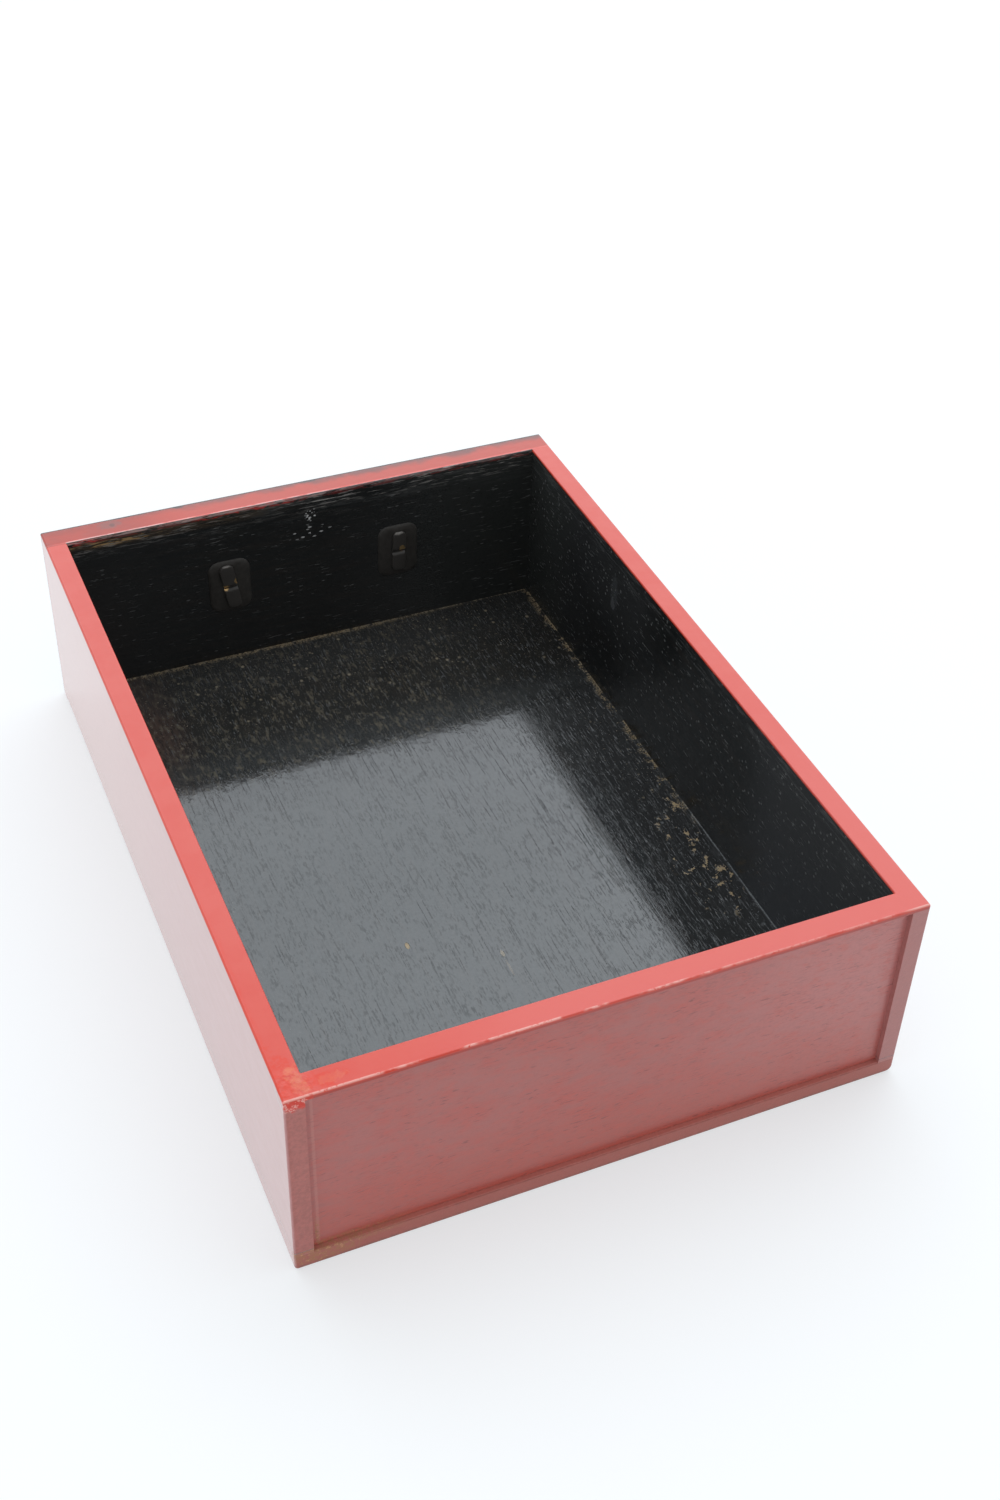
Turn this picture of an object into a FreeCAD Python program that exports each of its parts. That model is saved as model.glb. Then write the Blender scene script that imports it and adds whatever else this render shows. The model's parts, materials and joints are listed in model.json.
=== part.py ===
import FreeCAD, Part
import math
import os
import Sketcher

# Drawer of a lacquered jewellery cabinet: five boards, their bamboo pegs, and the brass drop handle.
# The front board faces -Y, +Z is up, and the origin is the centre of the underside.
# Right is +X, as someone who faces the handle sees it. All lengths are in millimetres.

doc = FreeCAD.newDocument("jewellery_cabinet_drawer")
sheet = doc.addObject("Spreadsheet::Sheet", "sizes")

DRIVING_SIZES = [
    # The box
    ("drawer_width", 160.0, "across the two side boards"),
    ("drawer_length", 228.0, "front face to the ends of the side boards"),
    ("drawer_height", 59.5, "underside to rim"),
    ("side_thickness", 6.0, "side boards"),
    ("front_thickness", 8.3, "front board"),
    ("back_thickness", 5.2, "back board under its lip"),
    ("bottom_thickness", 6.0, "bottom board"),
    ("back_recess", 1.5, "back board set in from the ends of the sides"),
    ("lip_height", 1.2, "lip along the top of the back board, out to the ends of the sides"),
    ("rebate_depth", 1.2, "step in the sides and the bottom that takes the back board"),
    ("bottom_lap", 4.3, "how far the bottom board runs in under the front board"),
    ("outer_arris", 0.5, "rounding of the outer edges under the lacquer"),
    ("left_foot_round", 1.8, "worn rounding of the long edge on the underside"),
    ("right_foot_round", 1.0, "worn rounding of the long edge on the underside"),
    ("inner_arris", 0.4, "rounding of the rim's inner edges"),
    # Lapped dovetails at the front
    ("front_lap", 2.6, "front board left over the ends of the tails"),
    ("tail_width", 18.0, "a tail at its wide end"),
    ("tail_gap", 6.5, "between the wide ends of the two tails"),
    ("tail_slope_share", 0.16, "narrowing of a tail on each edge, by its length"),
    ("glue_gap", 0.03, "glue line round tails and pegs"),
    # Bamboo pegs
    ("peg_radius", 0.9, "bamboo peg"),
    ("peg_length", 14.0, "bamboo peg"),
    ("peg_end_gap", 0.3, "hole deeper than the peg at each end"),
    ("peg_skin", 0.6, "wood and lacquer left over the head of a peg hole"),
    ("peg_inset", 12.0, "first peg from the end of its board"),
    # Split pins that hold the handle
    ("pin_spacing", 55.0, "between the two split pins"),
    ("pin_height", 32.8, "split pins above the underside"),
    ("pin_offset", 0.9, "handle set off centre, towards the left"),
    ("strip_width", 4.4, "brass strip of a split pin"),
    ("strip_thickness", 0.9, "brass strip of a split pin"),
    ("strip_gap", 0.2, "between the two halves of a shank"),
    ("eye_running_gap", 0.08, "between the handle's end and the eye that it turns in"),
    ("slot_gap", 0.3, "between a shank and the slot that it goes through"),
    ("clinch_bend", 0.5, "inner radius of the bend where a leg turns over"),
    ("leg_tip_radius", 1.6, "rounding of the ends of the legs"),
    ("right_upper_leg", 8.1, "reach of a clinched leg from the pin's axis"),
    ("right_lower_leg", 7.3, "reach of a clinched leg from the pin's axis"),
    ("left_upper_leg", 7.1, "reach of a clinched leg from the pin's axis"),
    ("left_lower_leg", 6.6, "reach of a clinched leg from the pin's axis"),
    ("right_lean_angle", 9.0, "legs of the right pin turned from upright, degrees"),
    ("left_lean_angle", -2.0, "legs of the left pin turned from upright, degrees"),
    # Plates under the legs and rosettes under the eyes
    ("plate_width", 13.4, "backing plate inside the front board"),
    ("plate_height", 18.8, "backing plate inside the front board"),
    ("plate_corner", 3.4, "cut corners of the backing plate"),
    ("plate_thickness", 0.8, "backing plate inside the front board"),
    ("rosette_radius", 6.6, "rosette on the front face"),
    ("rosette_height", 1.2, "rosette at its middle"),
    ("rosette_edge", 0.4, "rosette at its rim"),
    ("rosette_crown", 4.4, "radius of the rosette's flat middle"),
    # Drop handle
    ("handle_tip_radius", 1.3, "rod where it turns in the eyes"),
    ("handle_arm_radius", 1.5, "rod in the arms"),
    ("handle_grip_radius", 2.2, "rod at the middle of the grip"),
    ("handle_drop", 19.0, "hinge axis to the middle of the grip"),
    ("handle_shoulder", 2.4, "bend from the end into the arm"),
    ("handle_corner", 7.0, "bend from the arm into the grip"),
    ("handle_bow", 60.0, "radius of the bowed grip"),
    ("handle_side_gap", 0.5, "between the handle and each side of an eye"),
    ("handle_knob_radius", 1.65, "knob that keeps the end in its eye"),
    ("handle_knob_length", 1.4, "knob that keeps the end in its eye"),
]

WHOLE_NUMBERS = [
    ("side_peg_count", 4, "pegs up into each side board"),
    ("front_peg_count", 3, "pegs up into the front board"),
    ("back_peg_count", 3, "pegs up into the back board"),
    ("end_peg_count", 2, "pegs through each side into the back board"),
    ("peg_side_count", 8, "faces whittled on a peg"),
    ("shoulder_flat_count", 5, "flats round the bend from the handle's end into its arm"),
    ("corner_flat_count", 6, "flats round the bend from the arm into the grip"),
    ("bow_flat_count", 3, "flats from the corner to the middle of the grip"),
]

for row, (alias, value, meaning) in enumerate(DRIVING_SIZES + WHOLE_NUMBERS, start=1):
    sheet.set(f"A{row}", meaning)
    sheet.set(f"B{row}", str(value))
    sheet.setAlias(f"B{row}", alias)
doc.recompute()


def s(words):
    """An expression in which each name of a size points at the sheet."""
    names = {alias for alias, _, _ in DRIVING_SIZES + WHOLE_NUMBERS}
    out = []
    for word in words.replace("(", " ( ").replace(")", " ) ").split():
        out.append("sizes." + word if word in names else word)
    return " ".join(out).replace("sqrt (", "sqrt(")


def value_of(words):
    """The number that an expression of sizes comes to."""
    return float(sheet.evalExpression(s(words)))


# Lengths that follow from the driving sizes, written once as expressions
HALF_INSIDE = "( drawer_width / 2 - side_thickness )"
HALF_BACK_BOARD = "( drawer_width / 2 - side_thickness + rebate_depth )"
INSIDE_LENGTH = "( drawer_length - front_thickness - back_thickness - back_recess )"
SIDE_HEIGHT = "( drawer_height - bottom_thickness )"
BACK_HEIGHT = "( drawer_height - bottom_thickness + rebate_depth )"
REBATE_LENGTH = "( back_thickness + back_recess )"
TAIL_LENGTH = "( front_thickness - front_lap )"
TAIL_TAPER = "( tail_slope_share * ( front_thickness - front_lap ) )"
PEG_HOLE_RADIUS = "( peg_radius + glue_gap )"
PEG_REACH = "( peg_skin + peg_length + peg_end_gap )"
EYE_RADIUS = "( handle_tip_radius + eye_running_gap )"
EYE_OUTER_RADIUS = "( handle_tip_radius + eye_running_gap + strip_thickness )"
SHANK_HALF_HEIGHT = "( strip_thickness + strip_gap / 2 )"
SLOT_HALF_HEIGHT = "( strip_thickness + strip_gap / 2 + slot_gap )"
SLOT_HALF_WIDTH = "( strip_width / 2 + slot_gap )"
PLATE_SLOT_HALF_HEIGHT = "( strip_thickness + strip_gap / 2 + slot_gap + clinch_bend )"
EYE_STANDOFF = f"( rosette_height + glue_gap + sqrt ( {EYE_OUTER_RADIUS} ^ 2 - {SLOT_HALF_HEIGHT} ^ 2 ) )"
LEG_FACE = "( front_thickness + plate_thickness + strip_thickness )"


def origin_part(body, role):
    """One of a body's own origin planes or axes."""
    return next(feature for feature in body.Origin.OriginFeatures if feature.Role == role)


def new_body(name, right, back, up):
    """A body whose own origin lies at three expressions in the drawer's frame."""
    body = doc.addObject("PartDesign::Body", name)
    body.Label = name
    for axis, words in zip("xyz", (right, back, up)):
        body.setExpression(f"Placement.Base.{axis}", s(words))
    return body


def new_sketch(body, name, role, lift="0", lean=None):
    """A sketch on one of the body's origin planes, lifted along that plane's normal."""
    sketch = body.newObject("Sketcher::SketchObject", name)
    sketch.AttachmentSupport = [(origin_part(body, role), "")]
    sketch.MapMode = "FlatFace"
    if lean is not None:
        turn = FreeCAD.Rotation(FreeCAD.Vector(1, 0, 0), value_of(lean))
        sketch.AttachmentOffset = FreeCAD.Placement(FreeCAD.Vector(), turn)
        sketch.setExpression("AttachmentOffset.Rotation.Angle", s(lean))
    if lift != "0":
        sketch.setExpression("AttachmentOffset.Base.z", s(lift))
    return sketch


def bind(sketch, constraint, words):
    """Adds a constraint and ties its value to an expression."""
    index = sketch.addConstraint(constraint)
    sketch.setExpression(f"Constraints[{index}]", s(words))


def place_point(sketch, piece, end, across, along):
    """Ties one end or centre of a sketch's piece to its place from the sketch's origin."""
    for kind, axis, words in (("DistanceX", -2, across), ("DistanceY", -1, along)):
        if words == "0":
            sketch.addConstraint(Sketcher.Constraint("PointOnObject", piece, end, axis))
        else:
            bind(sketch, Sketcher.Constraint(kind, -1, 1, piece, end, value_of(words)), words)


def draw_outline(sketch, corners):
    """A closed outline of straight sides through corners given as pairs of expressions."""
    places = [FreeCAD.Vector(value_of(across), value_of(along), 0) for across, along in corners]
    first = sketch.GeometryCount
    count = len(corners)
    for index in range(count):
        sketch.addGeometry(Part.LineSegment(places[index], places[(index + 1) % count]), False)
    for index in range(count):
        following = first + (index + 1) % count
        sketch.addConstraint(Sketcher.Constraint("Coincident", first + index, 2, following, 1))
    for index, (across, along) in enumerate(corners):
        place_point(sketch, first + index, 1, across, along)


def draw_rectangle(sketch, low_across, high_across, low_along, high_along):
    draw_outline(sketch, [(low_across, low_along), (high_across, low_along),
                          (high_across, high_along), (low_across, high_along)])


def draw_circle(sketch, across, along, radius):
    centre = FreeCAD.Vector(value_of(across), value_of(along), 0)
    piece = sketch.addGeometry(Part.Circle(centre, FreeCAD.Vector(0, 0, 1), value_of(radius)), False)
    place_point(sketch, piece, 3, across, along)
    bind(sketch, Sketcher.Constraint("Radius", piece, value_of(radius)), radius)


def draw_arc(sketch, centre, start, end):
    """An arc that runs anticlockwise about a centre from one point to another."""
    first, last = (math.atan2(point.y - centre.y, point.x - centre.x) for point in (start, end))
    if last < first:
        last += 2 * math.pi
    circle = Part.Circle(centre, FreeCAD.Vector(0, 0, 1), centre.distanceToPoint(start))
    return sketch.addGeometry(Part.ArcOfCircle(circle, first, last), False)


def extrude(body, name, kind, sketch, depth, reversed_way=False, both_ways=False):
    """A Pad or a Pocket of a sketch. A Pocket that cuts nothing is an error."""
    before = body.Shape.Volume if body.Tip else 0.0
    feature = body.newObject("PartDesign::" + kind, name)
    feature.Profile = sketch
    feature.SideType = "Symmetric" if both_ways else "One side"
    feature.Reversed = reversed_way
    feature.setExpression("Length", s(depth))
    doc.recompute()
    if kind == "Pocket" and not body.Shape.Volume < before:
        raise RuntimeError(f"{body.Label}: {name} cuts nothing")
    return feature


def edges_where(feature, rule):
    """Names of a feature's straight or round edges whose middle and direction pass a rule."""
    names = []
    for number, edge in enumerate(feature.Shape.Edges, start=1):
        middle = edge.valueAt((edge.FirstParameter + edge.LastParameter) / 2)
        span = edge.valueAt(edge.LastParameter) - edge.valueAt(edge.FirstParameter)
        if rule(middle, span):
            names.append(f"Edge{number}")
    return names


def near(value, target):
    return abs(value - target) < FreeCAD.Base.Precision.confusion() * 1000


def round_edges(body, name, radius, rule):
    """A fillet on every edge of the body's latest feature that passes a rule."""
    base = body.Tip
    names = edges_where(base, rule)
    if not names:
        raise RuntimeError(f"{body.Label}: {name} finds no edge")
    fillet = body.newObject("PartDesign::Fillet", name)
    fillet.Base = (base, names)
    fillet.setExpression("Radius", s(radius))
    doc.recompute()
    return fillet


def repeat(body, name, feature, role, length, count, backwards=False):
    """Copies of a feature in an even row along one of the body's axes."""
    pattern = body.newObject("PartDesign::LinearPattern", name)
    pattern.Originals = [feature]
    pattern.Direction = (origin_part(body, role), [""])
    pattern.Reversed = backwards
    pattern.setExpression("Length", s(length))
    pattern.setExpression("Occurrences", s(count))
    body.Tip = pattern
    doc.recompute()


def round_inner_rim(body, name, rim_height, face, towards_board):
    """Rounds a board's inner top edge over the inside width only, so the joints stay closed.

    The sketch is a quarter-round spandrel at the corner of the board's section.
    towards_board is +1 where the board lies on the +Y side of the face, otherwise -1.
    """
    sketch = new_sketch(body, name + "_section", "YZ_Plane")
    sign = "+" if towards_board > 0 else "-"
    inward = f"( {face} {sign} inner_arris )"
    below = f"( {rim_height} - inner_arris )"
    corner = FreeCAD.Vector(value_of(face), value_of(rim_height), 0)
    top = FreeCAD.Vector(value_of(inward), value_of(rim_height), 0)
    side = FreeCAD.Vector(value_of(face), value_of(below), 0)
    centre = FreeCAD.Vector(value_of(inward), value_of(below), 0)
    sketch.addGeometry(Part.LineSegment(side, corner), False)
    sketch.addGeometry(Part.LineSegment(corner, top), False)
    starts_at_top = towards_board > 0
    ends = (top, side) if starts_at_top else (side, top)
    arc = draw_arc(sketch, centre, *ends)
    sketch.addConstraint(Sketcher.Constraint("Coincident", 0, 2, 1, 1))
    sketch.addConstraint(Sketcher.Constraint("Coincident", 1, 2, arc, 1 if starts_at_top else 2))
    sketch.addConstraint(Sketcher.Constraint("Coincident", 0, 1, arc, 2 if starts_at_top else 1))
    place_point(sketch, 0, 2, face, rim_height)
    place_point(sketch, 0, 1, face, below)
    place_point(sketch, 1, 2, inward, rim_height)
    bind(sketch, Sketcher.Constraint("Radius", arc, value_of("inner_arris")), "inner_arris")
    extrude(body, name, "Pocket", sketch, f"2 * {HALF_INSIDE}", both_ways=True)


# Rows of pegs: where the first one stands in the drawer's frame, and how far the row runs
SIDE_ROW_START = "( peg_inset + front_thickness - drawer_length / 2 )"
SIDE_ROW_RUN = f"( {INSIDE_LENGTH} - 2 * peg_inset )"
CROSS_ROW_START = "( side_thickness + peg_inset - drawer_width / 2 )"
CROSS_ROW_RUN = "( drawer_width - 2 * side_thickness - 2 * peg_inset )"
END_ROW_START = "( bottom_thickness + peg_inset )"
END_ROW_RUN = "( drawer_height - bottom_thickness - 2 * peg_inset )"
SIDE_ROW_X = "( ( drawer_width - side_thickness ) / 2 )"
FRONT_ROW_Y = "( front_thickness - bottom_lap / 2 - drawer_length / 2 )"
BACK_ROW_Y = "( drawer_length / 2 - back_recess - back_thickness / 2 )"


def make_bottom_board():
    """Bottom board: full width, in under the front board, with the step for the back board."""
    body = new_body("bottom_board", "0", "0", "0")
    plan = new_sketch(body, "bottom_plan", "XY_Plane")
    front_end = "( front_thickness - bottom_lap - drawer_length / 2 )"
    draw_rectangle(plan, "( 0 - drawer_width / 2 )", "( drawer_width / 2 )", front_end, "( drawer_length / 2 )")
    extrude(body, "bottom_board_pad", "Pad", plan, "bottom_thickness")

    step = new_sketch(body, "bottom_step_plan", "XY_Plane", "bottom_thickness")
    draw_rectangle(step, f"( 0 - {HALF_BACK_BOARD} )", HALF_BACK_BOARD,
                   f"( drawer_length / 2 - {REBATE_LENGTH} )", "( drawer_length / 2 )")
    extrude(body, "bottom_step", "Pocket", step, "rebate_depth")

    half_width = value_of("drawer_width / 2")
    back_end = value_of("drawer_length / 2")
    thickness = value_of("bottom_thickness")
    step_level = thickness - value_of("rebate_depth")

    def outer(middle, span):
        along_back = near(middle.y, back_end) and near(middle.z, 0)
        corner = near(abs(middle.x), half_width) and near(middle.y, back_end)
        return along_back or corner

    def left_foot(middle, span):
        return near(middle.x, -half_width) and near(middle.z, 0) and abs(span.y) > thickness

    def right_foot(middle, span):
        return near(middle.x, half_width) and near(middle.z, 0) and abs(span.y) > thickness

    def ledge(middle, span):
        return near(middle.y, back_end) and near(middle.z, step_level) and near(middle.x, 0)

    round_edges(body, "bottom_ledge_round", "inner_arris", ledge)
    round_edges(body, "bottom_left_foot_round", "left_foot_round", left_foot)
    round_edges(body, "bottom_right_foot_round", "right_foot_round", right_foot)
    round_edges(body, "bottom_outer_round", "outer_arris", outer)

    for side, sign in (("left", "0 -"), ("right", "0 +")):
        holes = new_sketch(body, f"bottom_{side}_peg_hole", "XY_Plane", "bottom_thickness")
        draw_circle(holes, f"( {sign} {SIDE_ROW_X} )", SIDE_ROW_START, PEG_HOLE_RADIUS)
        hole = extrude(body, f"bottom_{side}_first_hole", "Pocket", holes, "( bottom_thickness - peg_skin )")
        repeat(body, f"bottom_{side}_holes", hole, "Y_Axis", SIDE_ROW_RUN, "side_peg_count")
    for row, depth_from, across in (("front", "bottom_thickness", FRONT_ROW_Y),
                                    ("back", "( bottom_thickness - rebate_depth )", BACK_ROW_Y)):
        holes = new_sketch(body, f"bottom_{row}_peg_hole", "XY_Plane", depth_from)
        draw_circle(holes, CROSS_ROW_START, across, PEG_HOLE_RADIUS)
        hole = extrude(body, f"bottom_{row}_first_hole", "Pocket", holes, f"( {depth_from} - peg_skin )")
        repeat(body, f"bottom_{row}_holes", hole, "X_Axis", CROSS_ROW_RUN, f"{row}_peg_count")
    return body


def tail_edges(index):
    """Low and high edge of a tail's wide end, above the foot of the side board."""
    low = f"( ( {SIDE_HEIGHT} - 2 * tail_width - tail_gap ) / 2 + {index} * ( tail_width + tail_gap ) )"
    return low, f"( {low} + tail_width )"


def make_front_board():
    """Front board: thicker than the sides, with sockets for their tails and the slots for the pins."""
    body = new_body("front_board", "0", "0 - drawer_length / 2", "0")
    face = new_sketch(body, "front_face", "XZ_Plane")
    draw_rectangle(face, "( 0 - drawer_width / 2 )", "( drawer_width / 2 )", "0", "drawer_height")
    extrude(body, "front_board_pad", "Pad", face, "front_thickness", reversed_way=True)

    rebate = new_sketch(body, "front_rebate_section", "YZ_Plane")
    draw_rectangle(rebate, "( front_thickness - bottom_lap )", "front_thickness", "0", "bottom_thickness")
    extrude(body, "front_rebate", "Pocket", rebate, "drawer_width", both_ways=True)

    half_width = value_of("drawer_width / 2")
    height = value_of("drawer_height")

    def outer(middle, span):
        on_face = near(middle.y, 0)
        top_end = near(abs(middle.x), half_width) and near(middle.z, height)
        low_end = near(abs(middle.x), half_width) and near(middle.z, 0)
        return on_face or top_end or low_end

    round_edges(body, "front_outer_round", "outer_arris", outer)
    round_inner_rim(body, "front_rim_round", "drawer_height", "front_thickness", -1)

    for side, sign, reversed_way in (("left", "0 -", True), ("right", "0 +", False)):
        for index, level in enumerate(("lower", "upper")):
            low, high = tail_edges(index)
            socket = new_sketch(body, f"{side}_{level}_socket", "YZ_Plane", f"( {sign} {HALF_INSIDE} )")
            tip = "( front_lap - glue_gap )"
            mouth_low = f"( bottom_thickness + {low} + {TAIL_TAPER} - glue_gap )"
            mouth_high = f"( bottom_thickness + {high} - {TAIL_TAPER} + glue_gap )"
            draw_outline(socket, [(tip, f"( bottom_thickness + {low} - glue_gap )"),
                                  ("front_thickness", mouth_low),
                                  ("front_thickness", mouth_high),
                                  (tip, f"( bottom_thickness + {high} + glue_gap )")])
            extrude(body, f"{side}_{level}_socket_cut", "Pocket", socket, "side_thickness", not reversed_way)

    slots = new_sketch(body, "pin_slots", "XZ_Plane")
    for sign in ("-", "+"):
        middle = f"( 0 - pin_offset {sign} pin_spacing / 2 )"
        draw_rectangle(slots, f"( {middle} - {SLOT_HALF_WIDTH} )", f"( {middle} + {SLOT_HALF_WIDTH} )",
                       f"( pin_height - {SLOT_HALF_HEIGHT} )", f"( pin_height + {SLOT_HALF_HEIGHT} )")
    extrude(body, "pin_slot_cut", "Pocket", slots, "front_thickness")

    holes = new_sketch(body, "front_peg_hole", "XY_Plane", "bottom_thickness")
    draw_circle(holes, CROSS_ROW_START, "( front_thickness - bottom_lap / 2 )", PEG_HOLE_RADIUS)
    hole = extrude(body, "front_first_hole", "Pocket", holes, f"( {PEG_REACH} - bottom_thickness )", True)
    repeat(body, "front_holes", hole, "X_Axis", CROSS_ROW_RUN, "front_peg_count")
    return body


def make_side_board(side, sign, outward):
    """A side board: two tails at the front, and at the back end the step that takes the back board.

    Its own origin is the foot of its inner face, at the back end.
    """
    name = f"side_board_{side}"
    body = new_body(name, f"{sign} {HALF_INSIDE}", "drawer_length / 2", "bottom_thickness")
    profile = new_sketch(body, f"{name}_profile", "YZ_Plane")
    shoulder = "( front_thickness - drawer_length )"
    tip = "( front_lap - drawer_length )"
    corners = [("0", "0"), ("0", SIDE_HEIGHT), (shoulder, SIDE_HEIGHT)]
    for index in (1, 0):
        low, high = tail_edges(index)
        corners += [(shoulder, f"( {high} - {TAIL_TAPER} )"), (tip, high), (tip, low),
                    (shoulder, f"( {low} + {TAIL_TAPER} )")]
    corners.append((shoulder, "0"))
    draw_outline(profile, corners)
    extrude(body, f"{name}_pad", "Pad", profile, "side_thickness", reversed_way=not outward)

    step = new_sketch(body, f"{name}_step_face", "YZ_Plane")
    draw_rectangle(step, f"( 0 - {REBATE_LENGTH} )", "0", "0", SIDE_HEIGHT)
    extrude(body, f"{name}_step", "Pocket", step, "rebate_depth", reversed_way=outward)

    height = value_of(SIDE_HEIGHT)
    thickness = value_of("side_thickness")

    def outer(middle, span):
        top_outer = near(abs(middle.x), thickness) and near(middle.z, height)
        end_outer = near(abs(middle.x), thickness) and near(middle.y, 0)
        top_end = near(middle.y, 0) and near(middle.z, height)
        return top_outer or end_outer or top_end

    def inner_rim(middle, span):
        return near(middle.x, 0) and near(middle.z, height)

    round_edges(body, f"{name}_rim_round", "inner_arris", inner_rim)
    round_edges(body, f"{name}_outer_round", "outer_arris", outer)

    middle_of_board = "( 0 + side_thickness / 2 )" if outward else "( 0 - side_thickness / 2 )"
    holes = new_sketch(body, f"{name}_foot_hole", "XY_Plane")
    first = f"( {SIDE_ROW_START} - drawer_length / 2 )"
    draw_circle(holes, middle_of_board, first, PEG_HOLE_RADIUS)
    hole = extrude(body, f"{name}_first_foot_hole", "Pocket", holes, f"( {PEG_REACH} - bottom_thickness )", True)
    repeat(body, f"{name}_foot_holes", hole, "Y_Axis", SIDE_ROW_RUN, "side_peg_count")

    lift = "rebate_depth" if outward else "( 0 - rebate_depth )"
    ends = new_sketch(body, f"{name}_end_hole", "YZ_Plane", lift)
    draw_circle(ends, "( 0 - back_recess - back_thickness / 2 )", "peg_inset", PEG_HOLE_RADIUS)
    depth = "( side_thickness - rebate_depth - peg_skin )"
    hole = extrude(body, f"{name}_first_end_hole", "Pocket", ends, depth, reversed_way=outward)
    repeat(body, f"{name}_end_holes", hole, "Z_Axis", END_ROW_RUN, "end_peg_count")
    return body


def make_back_board():
    """Back board, let into the sides and the bottom, with a lip that brings its rim out to their ends.

    Its own origin is the foot of its back face.
    """
    body = new_body("back_board", "0", "drawer_length / 2 - back_recess", "bottom_thickness - rebate_depth")
    face = new_sketch(body, "back_face", "XZ_Plane")
    draw_rectangle(face, f"( 0 - {HALF_BACK_BOARD} )", HALF_BACK_BOARD, "0", BACK_HEIGHT)
    extrude(body, "back_board_pad", "Pad", face, "back_thickness")

    lip = new_sketch(body, "back_lip_face", "XZ_Plane")
    draw_rectangle(lip, f"( 0 - {HALF_BACK_BOARD} )", HALF_BACK_BOARD, f"( {BACK_HEIGHT} - lip_height )", BACK_HEIGHT)
    extrude(body, "back_lip", "Pad", lip, "back_recess", reversed_way=True)

    height = value_of(BACK_HEIGHT)
    lip_end = value_of("back_recess")

    def lip_edge(middle, span):
        return near(middle.y, lip_end) and near(middle.z, height)

    round_edges(body, "back_lip_round", "outer_arris", lip_edge)
    round_inner_rim(body, "back_rim_round", BACK_HEIGHT, "( 0 - back_thickness )", 1)

    foot = new_sketch(body, "back_foot_hole", "XY_Plane")
    draw_circle(foot, CROSS_ROW_START, "( 0 - back_thickness / 2 )", PEG_HOLE_RADIUS)
    depth = f"( {PEG_REACH} - bottom_thickness + rebate_depth )"
    hole = extrude(body, "back_first_foot_hole", "Pocket", foot, depth, True)
    repeat(body, "back_foot_holes", hole, "X_Axis", CROSS_ROW_RUN, "back_peg_count")

    for side, sign, reversed_way in (("left", "0 -", True), ("right", "0 +", False)):
        ends = new_sketch(body, f"back_{side}_end_hole", "YZ_Plane", f"( {sign} {HALF_BACK_BOARD} )")
        draw_circle(ends, "( 0 - back_thickness / 2 )", "( rebate_depth + peg_inset )", PEG_HOLE_RADIUS)
        depth = f"( {PEG_REACH} - side_thickness + rebate_depth )"
        hole = extrude(body, f"back_{side}_first_end_hole", "Pocket", ends, depth, reversed_way)
        repeat(body, f"back_{side}_end_holes", hole, "Z_Axis", END_ROW_RUN, "end_peg_count")
    return body


def make_peg_row(name, count, first, run, row_axis, turn=None):
    """A row of like whittled bamboo pegs as separate solids. first is the foot of the first peg."""
    pegs = []
    last_index = int(value_of(count)) - 1
    for index in range(last_index + 1):
        peg = doc.addObject("Part::Prism", f"{name}_{index + 1}")
        peg.setExpression("Polygon", s("peg_side_count"))
        peg.setExpression("Circumradius", s("peg_radius"))
        peg.setExpression("Height", s("peg_length"))
        if turn is not None:
            peg.Placement = FreeCAD.Placement(FreeCAD.Vector(), turn)
        for axis, words in zip("xyz", first):
            step = f" + {index} * {run} / ( {count} - 1 )" if axis == row_axis else ""
            peg.setExpression(f"Placement.Base.{axis}", s(words + step))
        pegs.append(peg)
    group = doc.addObject("Part::Compound", name)
    group.Label = name
    group.Links = pegs
    return group


def make_all_pegs():
    """Bamboo pegs up through the bottom board, and in through the side boards into the back board."""
    groups = []
    foot = "( peg_skin + 0 )"
    groups.append(make_peg_row("pegs_bottom_to_left_side", "side_peg_count",
                               (f"( 0 - {SIDE_ROW_X} )", SIDE_ROW_START, foot), SIDE_ROW_RUN, "y"))
    groups.append(make_peg_row("pegs_bottom_to_right_side", "side_peg_count",
                               (SIDE_ROW_X, SIDE_ROW_START, foot), SIDE_ROW_RUN, "y"))
    groups.append(make_peg_row("pegs_bottom_to_front", "front_peg_count",
                               (CROSS_ROW_START, FRONT_ROW_Y, foot), CROSS_ROW_RUN, "x"))
    groups.append(make_peg_row("pegs_bottom_to_back", "back_peg_count",
                               (CROSS_ROW_START, BACK_ROW_Y, foot), CROSS_ROW_RUN, "x"))
    across = FreeCAD.Rotation(FreeCAD.Vector(0, 1, 0), 90)
    head = "( drawer_width / 2 - peg_skin )"
    groups.append(make_peg_row("pegs_left_side_to_back", "end_peg_count",
                               (f"( 0 - {head} )", BACK_ROW_Y, END_ROW_START), END_ROW_RUN, "z", across))
    groups.append(make_peg_row("pegs_right_side_to_back", "end_peg_count",
                               (f"( {head} - peg_length )", BACK_ROW_Y, END_ROW_START), END_ROW_RUN, "z", across))
    return groups


def pin_place(sign):
    """Where a split pin goes through the front face."""
    return (f"0 - pin_offset {sign} pin_spacing / 2", "0 - drawer_length / 2", "pin_height")


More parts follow.
